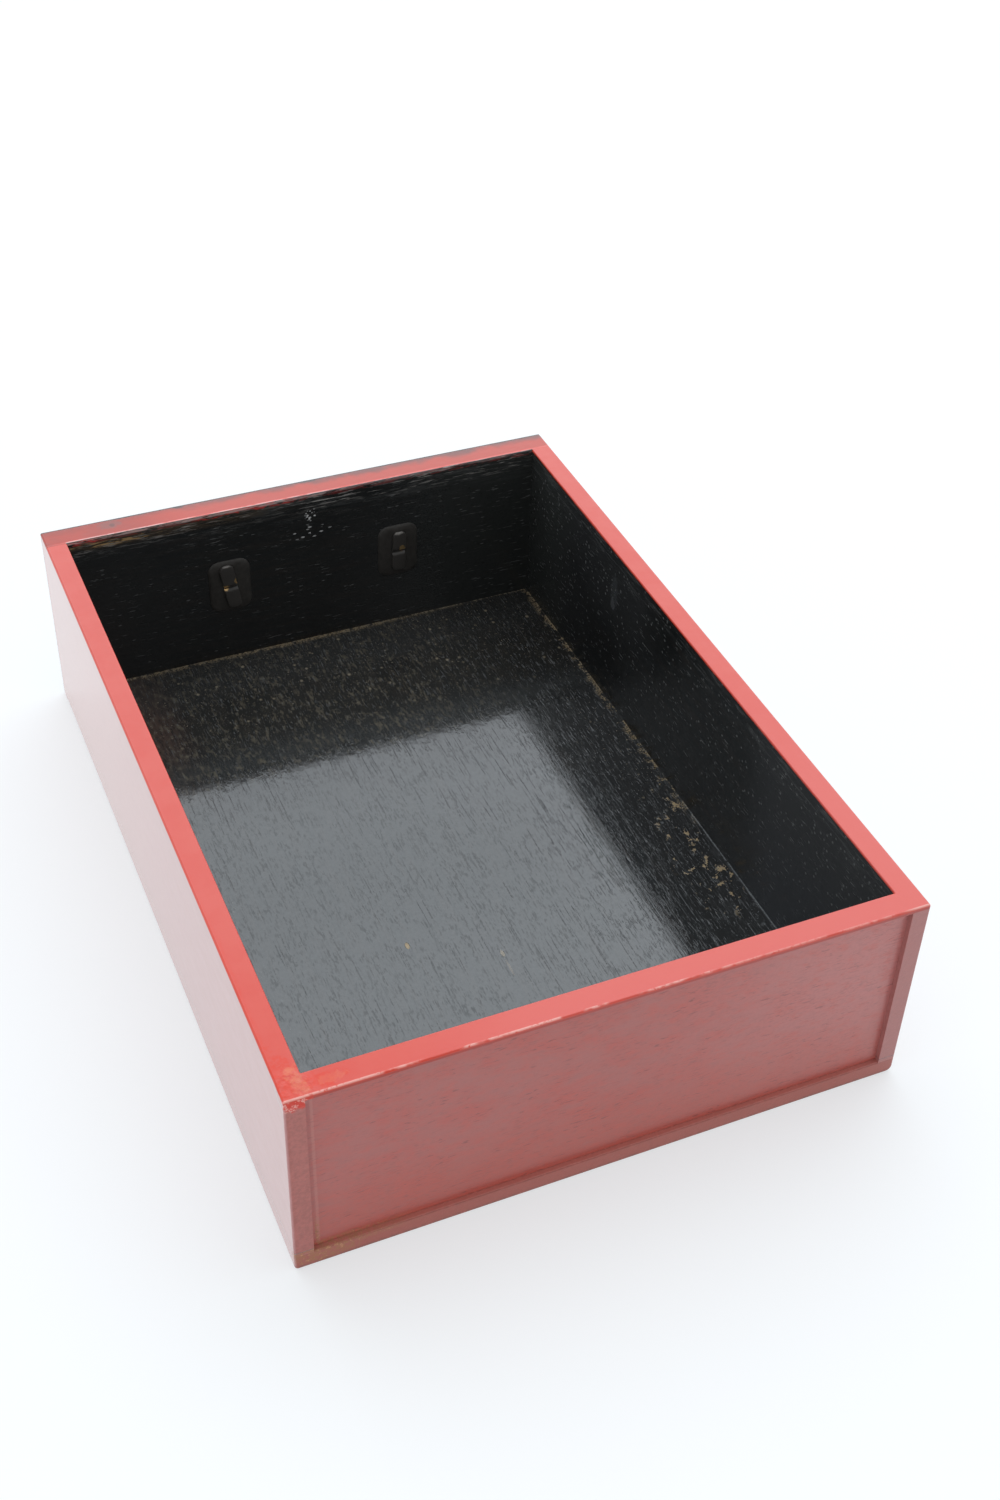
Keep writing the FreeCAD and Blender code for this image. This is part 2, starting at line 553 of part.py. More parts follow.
def make_rosette(side, sign):
    """Raised round plate under a split pin's eye, flat in the middle and sloped to its rim."""
    name = f"rosette_{side}"
    body = new_body(name, *pin_place(sign))
    section = new_sketch(body, f"{name}_section", "XY_Plane")
    draw_outline(section, [("0", "0"), ("rosette_radius", "0"), ("rosette_radius", "( 0 - rosette_edge )"),
                           ("rosette_crown", "( 0 - rosette_height )"), ("0", "( 0 - rosette_height )")])
    turned = body.newObject("PartDesign::Revolution", f"{name}_turned")
    turned.Profile = section
    turned.ReferenceAxis = (section, ["V_Axis"])
    turned.Angle = 360
    doc.recompute()
    slot = new_sketch(body, f"{name}_slot", "XZ_Plane")
    draw_rectangle(slot, f"( 0 - {SLOT_HALF_WIDTH} )", SLOT_HALF_WIDTH,
                   f"( 0 - {SLOT_HALF_HEIGHT} )", SLOT_HALF_HEIGHT)
    extrude(body, f"{name}_slot_cut", "Pocket", slot, "rosette_height", reversed_way=True)
    return body


def make_backing_plate(side, sign):
    """Plate with cut corners inside the front board, under the clinched legs."""
    name = f"backing_plate_{side}"
    body = new_body(name, *pin_place(sign))
    face = new_sketch(body, f"{name}_face", "XZ_Plane", "( 0 - front_thickness )")
    half_width = "( plate_width / 2 )"
    half_height = "( plate_height / 2 )"
    short_width = "( plate_width / 2 - plate_corner )"
    short_height = "( plate_height / 2 - plate_corner )"
    corners = [(short_width, half_height), (f"( 0 - {short_width} )", half_height),
               (f"( 0 - {half_width} )", short_height), (f"( 0 - {half_width} )", f"( 0 - {short_height} )"),
               (f"( 0 - {short_width} )", f"( 0 - {half_height} )"), (short_width, f"( 0 - {half_height} )"),
               (half_width, f"( 0 - {short_height} )"), (half_width, short_height)]
    draw_outline(face, corners)
    extrude(body, f"{name}_pad", "Pad", face, "plate_thickness", reversed_way=True)
    slot = new_sketch(body, f"{name}_slot", "XZ_Plane", "( 0 - front_thickness )")
    draw_rectangle(slot, f"( 0 - {SLOT_HALF_WIDTH} )", SLOT_HALF_WIDTH,
                   f"( 0 - {PLATE_SLOT_HALF_HEIGHT} )", PLATE_SLOT_HALF_HEIGHT)
    extrude(body, f"{name}_slot_cut", "Pocket", slot, "plate_thickness")
    return body


def make_split_pin(side, sign):
    """Brass strip folded into an eye, its two halves through the front board and clinched apart."""
    name = f"split_pin_{side}"
    body = new_body(name, *pin_place(sign))
    eye_place = f"( 0 - {EYE_STANDOFF} )"
    eye = new_sketch(body, f"{name}_eye_outline", "YZ_Plane")
    draw_circle(eye, eye_place, "0", EYE_OUTER_RADIUS)
    extrude(body, f"{name}_eye", "Pad", eye, "strip_width", both_ways=True)

    shank = new_sketch(body, f"{name}_shank_section", "YZ_Plane")
    draw_rectangle(shank, eye_place, "front_thickness", f"( 0 - {SHANK_HALF_HEIGHT} )", SHANK_HALF_HEIGHT)
    extrude(body, f"{name}_shank", "Pad", shank, "strip_width", both_ways=True)

    back_of_leg = f"( {LEG_FACE} - strip_thickness )"
    inner = "( strip_gap / 2 )"
    for level, flip in (("upper", "0 +"), ("lower", "0 -")):
        leg = new_sketch(body, f"{name}_{level}_leg_outline", "YZ_Plane", lean=f"{side}_lean_angle")
        reach = f"( {flip} {side}_{level}_leg )"
        near_line = f"( {flip} {inner} )"
        far_line = f"( {flip} {SHANK_HALF_HEIGHT} )"
        draw_outline(leg, [("front_thickness", near_line), (LEG_FACE, near_line), (LEG_FACE, reach),
                           (back_of_leg, reach), (back_of_leg, far_line), ("front_thickness", far_line)])
        extrude(body, f"{name}_{level}_leg", "Pad", leg, "strip_width", both_ways=True)

    hollow = new_sketch(body, f"{name}_eye_hole", "YZ_Plane")
    draw_circle(hollow, eye_place, "0", EYE_RADIUS)
    extrude(body, f"{name}_eye_cut", "Pocket", hollow, "2 * strip_width", both_ways=True)
    split = new_sketch(body, f"{name}_split", "YZ_Plane")
    draw_rectangle(split, eye_place, "front_thickness", f"( 0 - {inner} )", inner)
    extrude(body, f"{name}_split_cut", "Pocket", split, "2 * strip_width", both_ways=True)

    lean = math.radians(value_of(f"{side}_lean_angle"))
    leg_face = value_of(LEG_FACE)
    half_strip = value_of("strip_width / 2")

    def leaning(point):
        """A point's place across and up a leg that leans."""
        across = point.x * math.cos(lean) - point.z * math.sin(lean)
        return across, point.x * math.sin(lean) + point.z * math.cos(lean)

    def bend_edges(depth, level):
        def rule(middle, span):
            across, up = leaning(middle)
            return near(middle.y, depth) and near(abs(up), level) and near(across, 0) and near(span.y, 0)
        return rule

    def leg_tips(middle, span):
        across, up = leaning(middle)
        at_side = near(abs(across), half_strip)
        past_bend = abs(up) > value_of(PLATE_SLOT_HALF_HEIGHT)
        lengthwise = abs(span.y) > value_of("strip_thickness") * 0.9
        return at_side and past_bend and lengthwise

    round_edges(body, f"{name}_tip_round", "leg_tip_radius", leg_tips)
    round_edges(body, f"{name}_outer_bend", "( clinch_bend + strip_thickness )",
                bend_edges(leg_face, value_of(inner)))
    round_edges(body, f"{name}_inner_bend", "clinch_bend",
                bend_edges(value_of(back_of_leg), value_of(SHANK_HALF_HEIGHT)))
    return body


def make_handle():
    """Drop handle: one bowed rod, thickest in the grip, whose ends turn out through the two eyes.

    Its own origin is the middle of the hinge axis, and it hangs straight down. The rod is forged, so it
    runs in short flats from one round section to the next.
    """
    half_spacing = value_of("pin_spacing / 2")
    tip = value_of("handle_tip_radius")
    arm = value_of("handle_arm_radius")
    grip = value_of("handle_grip_radius")
    drop = value_of("handle_drop")
    shoulder = value_of("handle_shoulder")
    corner = value_of("handle_corner")
    bow = value_of("handle_bow")
    knob = value_of("handle_knob_radius")
    knob_length = value_of("handle_knob_length")
    eye_half = value_of("strip_width / 2 + handle_side_gap")

    end_x = half_spacing + eye_half
    bend_x = half_spacing - eye_half
    arm_x = bend_x - shoulder
    corner_x = arm_x - corner
    bow_height = bow - drop
    corner_height = bow_height - math.sqrt((bow - corner) ** 2 - corner_x ** 2)
    swing = math.asin(corner_x / (bow - corner))
    corner_turn = math.pi / 2 - swing
    corner_radius = (arm + grip) / 2

    def along_arc(centre_x, centre_height, radius, first, last, first_radius, last_radius, flats):
        """Sections (x, height, heading, radius of the rod) that divide an arc into flats."""
        found = []
        quarter = math.copysign(math.pi / 2, last - first)
        for index in range(flats + 1):
            share = index / flats
            angle = first + share * (last - first)
            found.append((centre_x + radius * math.cos(angle), centre_height + radius * math.sin(angle),
                          angle + quarter, first_radius + share * (last_radius - first_radius)))
        return found

    upright = math.pi / 2
    flats = [int(value_of(f"{bend}_flat_count")) for bend in ("shoulder", "corner", "bow")]
    knob_place_and_size_shares = [(1.0, 0.7), (0.75, 1.0), (0.3, 1.0)]
    half = [(end_x + place * knob_length, 0, math.pi, size * knob) for place, size in knob_place_and_size_shares]
    half.append((end_x, 0, math.pi, tip))
    half += along_arc(bend_x, -shoulder, shoulder, upright, math.pi, tip, arm, flats[0])
    half += along_arc(corner_x, corner_height, corner, 0, -corner_turn, arm, corner_radius, flats[1])
    half += along_arc(0, bow_height, bow, -corner_turn, -upright, corner_radius, grip, flats[2])[1:]
    stations = half + [(-x, height, -heading, size) for x, height, heading, size in reversed(half[:-1])]

    rings = []
    seam_way = FreeCAD.Vector(0, 1, 0)
    for x, height, heading, size in stations:
        way = FreeCAD.Vector(math.cos(heading), 0, math.sin(heading))
        ring = Part.Wire(Part.Circle(FreeCAD.Vector(), FreeCAD.Vector(0, 0, 1), size).toShape())
        turn = FreeCAD.Rotation(seam_way, way.cross(seam_way), way, "ZXY")
        ring.Placement = FreeCAD.Placement(FreeCAD.Vector(x, 0, height), turn)
        rings.append(ring)
    handle = doc.addObject("Part::Feature", "handle")
    handle.Label = "drop_handle"
    handle.Shape = Part.makeLoft(rings, True, True)
    handle.Placement = FreeCAD.Placement(
        FreeCAD.Vector(-value_of("pin_offset"), value_of(f"0 - drawer_length / 2 - {EYE_STANDOFF}"),
                       value_of("pin_height")), FreeCAD.Rotation())
    return handle


pieces = [make_bottom_board(), make_front_board(), make_side_board("left", "0 -", False),
          make_side_board("right", "0 +", True), make_back_board()]
pieces += make_all_pegs()
for pin_side, pin_sign in (("left", "-"), ("right", "+")):
    pieces.append(make_rosette(pin_side, pin_sign))
    pieces.append(make_backing_plate(pin_side, pin_sign))
    pieces.append(make_split_pin(pin_side, pin_sign))
pieces.append(make_handle())
doc.recompute()

for thing in doc.Objects:
    if "Invalid" in thing.State or "Error" in thing.State:
        raise RuntimeError(f"{thing.Label}: {thing.State}")
for piece in pieces:
    if piece.Shape.isNull() or not piece.Shape.isValid():
        raise RuntimeError(f"{piece.Label}: no valid shape")

os.makedirs("parts", exist_ok=True)
for piece in pieces:
    piece.Shape.exportStep(f"parts/{piece.Label}.step")
    print(f"{piece.Label}: {len(piece.Shape.Solids)} solids, {piece.Shape.Volume:.1f} mm3")
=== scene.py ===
import json
import math

import bmesh
import bpy
from mathutils import Matrix, Vector, noise


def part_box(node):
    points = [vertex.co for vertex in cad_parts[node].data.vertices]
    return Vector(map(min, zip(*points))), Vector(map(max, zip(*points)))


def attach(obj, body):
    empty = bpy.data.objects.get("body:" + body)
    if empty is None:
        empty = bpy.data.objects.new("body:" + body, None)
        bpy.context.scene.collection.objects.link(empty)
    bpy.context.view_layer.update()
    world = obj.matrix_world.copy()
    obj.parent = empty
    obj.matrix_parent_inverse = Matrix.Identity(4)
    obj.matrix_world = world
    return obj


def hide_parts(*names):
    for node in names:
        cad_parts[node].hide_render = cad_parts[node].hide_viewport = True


# The looks of a lacquered cabinet drawer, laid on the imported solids.
# Its front board, with the handle, faces -Y, and +X is to the right of someone who faces the handle.
# The photograph looks from behind, so there the back is near and the right side board is on the left.
# Meshes end up in metres. Materials, the edges and faces named here and names in _mm are in millimetres.

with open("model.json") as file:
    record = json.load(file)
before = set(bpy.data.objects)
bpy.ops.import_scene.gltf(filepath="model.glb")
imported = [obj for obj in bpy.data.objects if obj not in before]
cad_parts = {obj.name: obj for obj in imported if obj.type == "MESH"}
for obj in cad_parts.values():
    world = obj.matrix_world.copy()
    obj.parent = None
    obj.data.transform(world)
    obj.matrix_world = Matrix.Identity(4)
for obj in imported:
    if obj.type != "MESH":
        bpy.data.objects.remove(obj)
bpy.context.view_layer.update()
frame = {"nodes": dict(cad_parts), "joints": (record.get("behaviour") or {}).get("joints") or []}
nodes = frame["nodes"]
MM = 0.001

# A point on the handle's axis, in metres
HINGE = Vector(frame["joints"][0]["pos_m"])

# Edges of the inside, where black lacquer takes over from red, and faces of the outside
INSIDE_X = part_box("side_board_right")[0].x / MM
INSIDE_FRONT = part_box("front_board")[1].y / MM
INSIDE_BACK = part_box("back_board")[0].y / MM
FLOOR_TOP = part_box("bottom_board")[1].z / MM
RIM_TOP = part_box("side_board_right")[1].z / MM
FRONT_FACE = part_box("front_board")[0].y / MM
BACK_INSET = 1.5
BACK_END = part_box("side_board_right")[1].y / MM
BACK_FACE = BACK_END - BACK_INSET
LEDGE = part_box("back_board")[0].z / MM
HALF_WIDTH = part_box("front_board")[1].x / MM


class NodeTree:
    """A node tree, emptied and built up from short expressions. A value is a number or a node's output."""

    def __init__(self, tree):
        self.tree = tree
        tree.nodes.clear()

    def add(self, kind, inputs=None, **settings):
        node = self.tree.nodes.new(kind)
        for key, value in settings.items():
            setattr(node, key, value)
        for key, value in (inputs or {}).items():
            if isinstance(value, bpy.types.NodeSocket):
                self.tree.links.new(value, node.inputs[key])
            else:
                node.inputs[key].default_value = value
        return node

    def math(self, operation, *values):
        """One step of arithmetic, named as the node's operation is."""
        return self.add("ShaderNodeMath", dict(enumerate(values)), operation=operation).outputs[0]

    def plus(self, a, b):
        return self.math("ADD", a, b)

    def minus(self, a, b):
        return self.math("SUBTRACT", a, b)

    def times(self, *values):
        result = values[0]
        for value in values[1:]:
            result = self.math("MULTIPLY", result, value)
        return result

    def invert(self, value):
        return self.math("SUBTRACT", 1.0, value)

    def either(self, *values):
        result = values[0]
        for value in values[1:]:
            result = self.math("MAXIMUM", result, value)
        return result

    def rise(self, value, low, high, to_low=0.0, to_high=1.0):
        """Goes smoothly from to_low at low to to_high at high. low may be the larger one."""
        if low > high:
            low, high, to_low, to_high = high, low, to_high, to_low
        return self.add("ShaderNodeMapRange", {0: value, 1: low, 2: high, 3: to_low, 4: to_high},
                        interpolation_type="SMOOTHSTEP").outputs[0]

    def band(self, value, low, high, soft):
        """1 between low and high, with soft edges."""
        return self.times(self.rise(value, low - soft, low + soft),
                          self.rise(value, high + soft, high - soft))

    def mix(self, share, first, second):
        """A colour between two colours."""
        inputs = {0: share, 6: first if isinstance(first, bpy.types.NodeSocket) else (*first, 1.0),
                  7: second if isinstance(second, bpy.types.NodeSocket) else (*second, 1.0)}
        return self.add("ShaderNodeMix", inputs, data_type="RGBA").outputs[2]

    def over(self, base, colour, *shares):
        """A colour laid over another one, where all the shares are high."""
        return self.mix(self.times(*shares), base, colour)

    def blend(self, share, first, second):
        """A number between two numbers."""
        return self.add("ShaderNodeMix", {0: share, 2: first, 3: second}, data_type="FLOAT").outputs[0]


class Shader(NodeTree):
    """A material over the object's own coordinates, x, y and z, in millimetres."""

    def __init__(self, name):
        self.material = bpy.data.materials.new(name)
        self.material.use_nodes = True
        super().__init__(self.material.node_tree)
        place = self.add("ShaderNodeTexCoord").outputs["Object"]
        self.mm = self.add("ShaderNodeVectorMath", {0: place, "Scale": 1 / MM}, operation="SCALE").outputs[0]
        self.x, self.y, self.z = self.add("ShaderNodeSeparateXYZ", {0: self.mm}).outputs
        self.across = self.math("ABSOLUTE", self.x)

    def sized(self, sizes, seed=0.0):
        """Coordinates that grow by one over each of three sizes."""
        shares = tuple(1.0 / size for size in sizes)
        node = self.add("ShaderNodeVectorMath", {0: self.mm, 1: shares, 2: (seed, seed * 1.7, seed * 0.6)},
                        operation="MULTIPLY_ADD")
        return node.outputs[0]

    def noise(self, sizes, detail=3.0, rough=0.5, seed=0.0):
        inputs = {"Vector": self.sized(sizes, seed), "Scale": 1.0, "Detail": detail, "Roughness": rough}
        return self.add("ShaderNodeTexNoise", inputs).outputs[0]

    def specks(self, sizes, share, seed=0.0, inner=0.18, outer=0.42):
        """Scattered marks of about half the given sizes; share is how many of the places hold one."""
        inputs = {"Vector": self.sized(sizes, seed), "Scale": 1.0, "Randomness": 1.0}
        cells = self.add("ShaderNodeTexVoronoi", inputs)
        chance = self.add("ShaderNodeSeparateColor", {0: cells.outputs["Color"]}).outputs[0]
        kept = self.rise(self.minus(share, chance), -0.02, 0.02)
        return self.times(self.rise(cells.outputs["Distance"], outer, inner), kept)

    def spot(self, centre, radii, ragged=0.0, seed=0.0, size_mm=1.5):
        """A soft spot, 1 at its centre; ragged pushes its edge in and out."""
        away = self.add("ShaderNodeVectorMath", {0: self.mm, 1: centre}, operation="SUBTRACT").outputs[0]
        shares = tuple(1.0 / radius for radius in radii)
        away = self.add("ShaderNodeVectorMath", {0: away, 1: shares}, operation="MULTIPLY").outputs[0]
        distance = self.add("ShaderNodeVectorMath", {0: away}, operation="LENGTH").outputs["Value"]
        if ragged:
            wander = self.noise((size_mm,) * 3, 3.0, 0.6, seed)
            distance = self.plus(distance, self.times(self.minus(wander, 0.5), ragged))
        return self.rise(distance, 1.0, 0.6)

    def finish(self, colour, rough, height_mm, **own):
        """The surface from its colour, its roughness, a height in millimetres and sockets of its own."""
        bump = self.add("ShaderNodeBump", {"Height": height_mm, "Strength": 1.0, "Distance": MM})
        surface = {"Base Color": colour, "Roughness": rough, "Normal": bump.outputs[0], **own}
        principled = self.add("ShaderNodeBsdfPrincipled", surface)
        self.add("ShaderNodeOutputMaterial", {"Surface": principled.outputs[0]})
        return self.material


class Board(Shader):
    """Lacquer over wood: black inside the drawer and on its face, red outside and on the rim.

    role is front, side, back or bottom, and grain is the axis that the wood runs along.
    """

    def __init__(self, role, grain):
        super().__init__(f"lacquer_{role}")
        self.role = role
        self.grain = grain
        self.flat_axis = {"front": "y", "back": "y", "side": "x", "bottom": "z"}[role]
        y, z, across = self.y, self.z, self.across

        # Where each colour lies. A mask that a board has no use for is left as the number 0.
        self.wander = self.times(self.minus(self.streaks(0.8, 6.0, 4.0, 3.0, 0.6), 0.5), 0.5)
        self.on_face = self.on_rim = self.on_back = self.on_side = self.underneath = 0.0
        below = self.plus(z, self.wander)
        if role == "front":
            arris = self.band(y, INSIDE_FRONT - 0.45, INSIDE_FRONT + 0.05, 0.05)
            below = self.minus(below, self.times(arris, 0.75))
            worn_edge = self.plus(y, self.times(self.wander, 2.2))
            self.on_face = self.rise(worn_edge, FRONT_FACE + 1.1, FRONT_FACE + 0.5)
        self.inside = {
            "front": lambda: self.times(self.rise(y, INSIDE_FRONT - 0.42, INSIDE_FRONT - 0.34),
                                        self.rise(across, INSIDE_X + 0.20, INSIDE_X + 0.10)),
            "side": lambda: self.rise(across, INSIDE_X + 0.20, INSIDE_X + 0.10),
            "back": lambda: self.rise(y, INSIDE_BACK + 0.20, INSIDE_BACK + 0.10),
            "bottom": lambda: self.rise(z, FLOOR_TOP - 0.20, FLOOR_TOP - 0.10),
        }[role]()
        if role != "bottom":
            self.inside = self.times(self.inside, self.rise(below, RIM_TOP - 0.50, RIM_TOP - 0.70))
            drop = self.rise(y, BACK_FACE - 0.9, BACK_FACE + 0.3, 0.0, 0.45)
            self.on_rim = self.rise(self.plus(z, drop), RIM_TOP - 0.80, RIM_TOP - 0.60)
        if role != "front":
            self.on_back = self.rise(y, BACK_FACE - 0.6, BACK_FACE - 0.2)
        if role != "back":
            self.on_side = self.rise(across, HALF_WIDTH - 0.6, HALF_WIDTH - 0.2)
        if role in ("front", "bottom"):
            self.underneath = self.rise(z, 0.25, 0.05)
        self.is_black = self.either(self.inside, self.on_face) if role == "front" else self.inside

        # Grain and open pores that show through the lacquer
        self.fine = self.streaks(0.46, 2.1, 9.0, 2.0, 0.55)
        spread = self.rise(self.noise((5.0, 5.0, 5.0), 2.0, 0.5, 19.0), 0.28, 0.60)
        self.pores = self.times(self.rise(self.fine, 0.51, 0.64), spread)
        self.long_grain = self.streaks(0.9, 26.0, 2.0, 4.0, 0.62)
        self.cloud = self.noise((16.0, 16.0, 16.0), 3.0, 0.55, 3.0)
        self.patch = self.streaks(3.2, 9.0, 12.0, 3.0, 0.6)
        self.mottle = self.noise((1.1, 1.1, 1.1), 3.0, 0.7, 31.0)
        self.cracks = self.times(self.rise(self.streaks(0.42, 14.0, 44.0, 2.0, 0.5), 0.60, 0.70),
                                 self.rise(self.mottle, 0.32, 0.52))
        bold = self.rise(self.streaks(0.58, 2.8, 27.0, 2.0, 0.5), 0.60, 0.68)
        self.bold = self.times(bold, self.rise(self.patch, 0.38, 0.62))

        # Marks that the colours settle, and that gloss and relief follow
        self.fresh = self.drip = self.dusty = self.litter = self.pale = self.stain = 0.0

    def streaks(self, across_mm, along_mm, seed, detail=2.0, rough=0.5):
        """Noise drawn out along the grain."""
        return self.noise(self.lengthwise(across_mm, along_mm), detail, rough, seed)

    def lengthwise(self, across_mm, along_mm):
        return tuple(along_mm if axis == self.grain else across_mm for axis in "xyz")

    def flecks(self, across_mm, along_mm, share, seed, inner=0.10, outer=0.26):
        """Specks that lie on the board's main faces, drawn out along the grain."""
        sizes = [30.0 if axis == self.flat_axis else size
                 for axis, size in zip("xyz", self.lengthwise(across_mm, along_mm))]
        return self.specks(sizes, share, seed, inner, outer)

    def dull_red(self):
        """The outside, rubbed dull: the back, the strips round it, the sides, and stains low down, with some
        painted light and shade.
        """
        rise, times, either = self.rise, self.times, self.either
        x, z = self.x, self.z
        if self.role == "back":
            dull = self.mix(rise(self.patch, 0.35, 0.66), (0.400, 0.107, 0.094), (0.440, 0.090, 0.074))
            dull = self.over(dull, (0.370, 0.135, 0.125), rise(self.cloud, 0.60, 0.38), 0.35)
            # Deeper red low down on the back, a painted reflection: less of the floor's light is mirrored
            # there
            dull = self.over(dull, (0.420, 0.064, 0.040), rise(z, 34.0, 6.0), 0.55)
            left_end = times(rise(x, 5.0, -75.0), rise(z, 0.0, 40.0, 0.45, 1.0))
            dull = self.over(dull, (0.485, 0.185, 0.176), left_end, 0.65)
            blotch = self.streaks(2.2, 5.0, 57.0, 3.0, 0.62)
            dull = self.mix(rise(blotch, 0.50, 0.68, 0.0, 0.42), dull, (0.480, 0.085, 0.064))
            dull = self.mix(rise(blotch, 0.46, 0.30, 0.0, 0.30), dull, (0.310, 0.115, 0.112))
            dull = self.over(dull, (0.240, 0.090, 0.088), rise(self.mottle, 0.40, 0.70), 0.16)
            # A lighter line next to the side board's end strip: painted light that offsets the strip's shadow
            # on the recessed back
            painted_light_by_strip = self.band(self.plus(x, times(self.wander, 0.8)), 73.2, 73.9, 0.15)
            dull = self.over(dull, (0.520, 0.215, 0.185), painted_light_by_strip, 0.35)
            # Lighter along the lowest edge of the back: painted light that offsets the shade in the corner
            # where it stands on the bottom board
            foot = rise(self.plus(z, self.wander), LEDGE + 1.3, LEDGE + 0.3)
            dull = self.over(dull, (0.580, 0.130, 0.098), foot, 0.6)
            dull = self.over(dull, (0.110, 0.043, 0.045), self.bold, 0.48)
            dull = self.over(dull, (0.200, 0.064, 0.060), self.pores, rise(self.cloud, 0.35, 0.6), 0.30)
            under_rim = times(self.band(z, RIM_TOP - 2.4, RIM_TOP - 0.9, 0.3), rise(self.fine, 0.53, 0.62))
            dull = self.over(dull, (0.120, 0.035, 0.030), under_rim, 0.55)
        elif self.role != "front":
            dull = self.mix(rise(self.mottle, 0.35, 0.65), (0.405, 0.112, 0.095), (0.330, 0.092, 0.076))
            dull = self.over(dull, (0.385, 0.158, 0.150), rise(x, -60.0, -78.0), 0.7)
            if self.role == "bottom":
                dull = self.over(dull, (0.335, 0.062, 0.038), rise(z, LEDGE + 0.1, LEDGE - 0.3), 0.7)
                # A pale line along the top of the step under the back: painted highlight
                ledge_highlight = times(self.band(z, LEDGE - 0.06, LEDGE + 0.06, 0.03), self.on_back)
                dull = self.over(dull, (0.600, 0.210, 0.170), ledge_highlight, 0.45)
                groove = times(self.band(z, LEDGE - 0.45, LEDGE - 0.12, 0.1),
                               rise(self.y, BACK_END - 0.5, BACK_END - 0.2))
                crack = times(ledge_highlight, rise(self.y, BACK_FACE + 0.35, BACK_FACE + 0.15))
                groove = either(groove, crack)
                dull = self.over(dull, (0.150, 0.045, 0.030), groove, rise(self.mottle, 0.34, 0.54), 0.3)
        if self.role != "back":
            # The side boards' paler pink, paler still towards the front end, is partly a dusty bloom and
            # partly painted reflection of the bright surround seen at a glancing angle
            sides = self.mix(rise(self.patch, 0.3, 0.7), (0.465, 0.200, 0.192), (0.440, 0.175, 0.166))
            sides = self.mix(rise(self.y, 60.0, -100.0), sides, (0.560, 0.295, 0.272))
            sides = self.over(sides, (0.240, 0.090, 0.085), self.pores, 0.12)
            dull = sides if self.role == "front" else self.mix(self.on_side, dull, sides)
        if self.role == "front":
            return dull

        # Bare and stained wood low on the right back corner and along the bottom joint
        joint = times(self.band(z, 3.4, 6.0, 0.5), rise(x, 45.0, 70.0))
        upright = times(self.band(x, 73.2, 74.3, 0.3), rise(z, 17.0, 10.0))
        stain = either(times(either(joint, upright), self.on_back),
                       self.spot((72.0, BACK_END, 2.6), (9.0, 3.0, 2.2), 0.8, 5.0))
        self.stain = times(stain, rise(self.noise((0.9, 0.9, 0.9), 3.0, 0.65, 17.0), 0.36, 0.60))
        dull = self.over(dull, (0.350, 0.165, 0.078), self.stain, 0.70)
        dull = self.over(dull, (0.600, 0.300, 0.150), self.stain, rise(self.mottle, 0.56, 0.66), 0.7)
        # The bottom board darker along its lowest edge, where it meets the floor
        if self.role == "bottom":
            foot = either(times(rise(z, 1.5, 0.4), rise(self.mottle, 0.38, 0.60), 0.7),
                          times(rise(z, 0.75, 0.1), 0.55))
            dull = self.mix(foot, dull, (0.150, 0.052, 0.036))
        return dull

    def rim_red(self):
        """The rim, bright red, with the marks that the photograph shows on it, and painted highlights and
        shade along its edges.
        """
        rise, times, either = self.rise, self.times, self.either
        x, y, z, across = self.x, self.y, self.z, self.across
        drift = self.noise((9.0, 9.0, 9.0), 3.0, 0.6, 41.0)
        rim = self.mix(rise(drift, 0.35, 0.65), (0.560, 0.030, 0.008), (0.570, 0.042, 0.018))
        if self.role == "front":
            behind = rise(self.plus(y, self.wander), INSIDE_FRONT - 0.8, INSIDE_FRONT - 1.4)
            rim = self.over(rim, (0.425, 0.034, 0.012), behind, 0.85)
            reach = self.plus(y, times(self.minus(drift, 0.5), 7.0))
            sooty = times(rise(reach, FRONT_FACE + 3.8, FRONT_FACE + 0.6), rise(x, 70.0, 0.0, 0.45, 1.0))
            rim = self.over(rim, (0.075, 0.045, 0.040), sooty, 0.75)
            rim = self.over(rim, (0.300, 0.040, 0.026), rise(x, 38.0, 58.0),
                            rise(drift, 0.36, 0.60, 0.5, 1.0), 0.65)
            grey = self.spot((60.0, FRONT_FACE + 3.0, RIM_TOP), (4.0, 2.6, 1.5), 1.2, 12.0)
            rim = self.over(rim, (0.190, 0.080, 0.070), grey, 0.55)
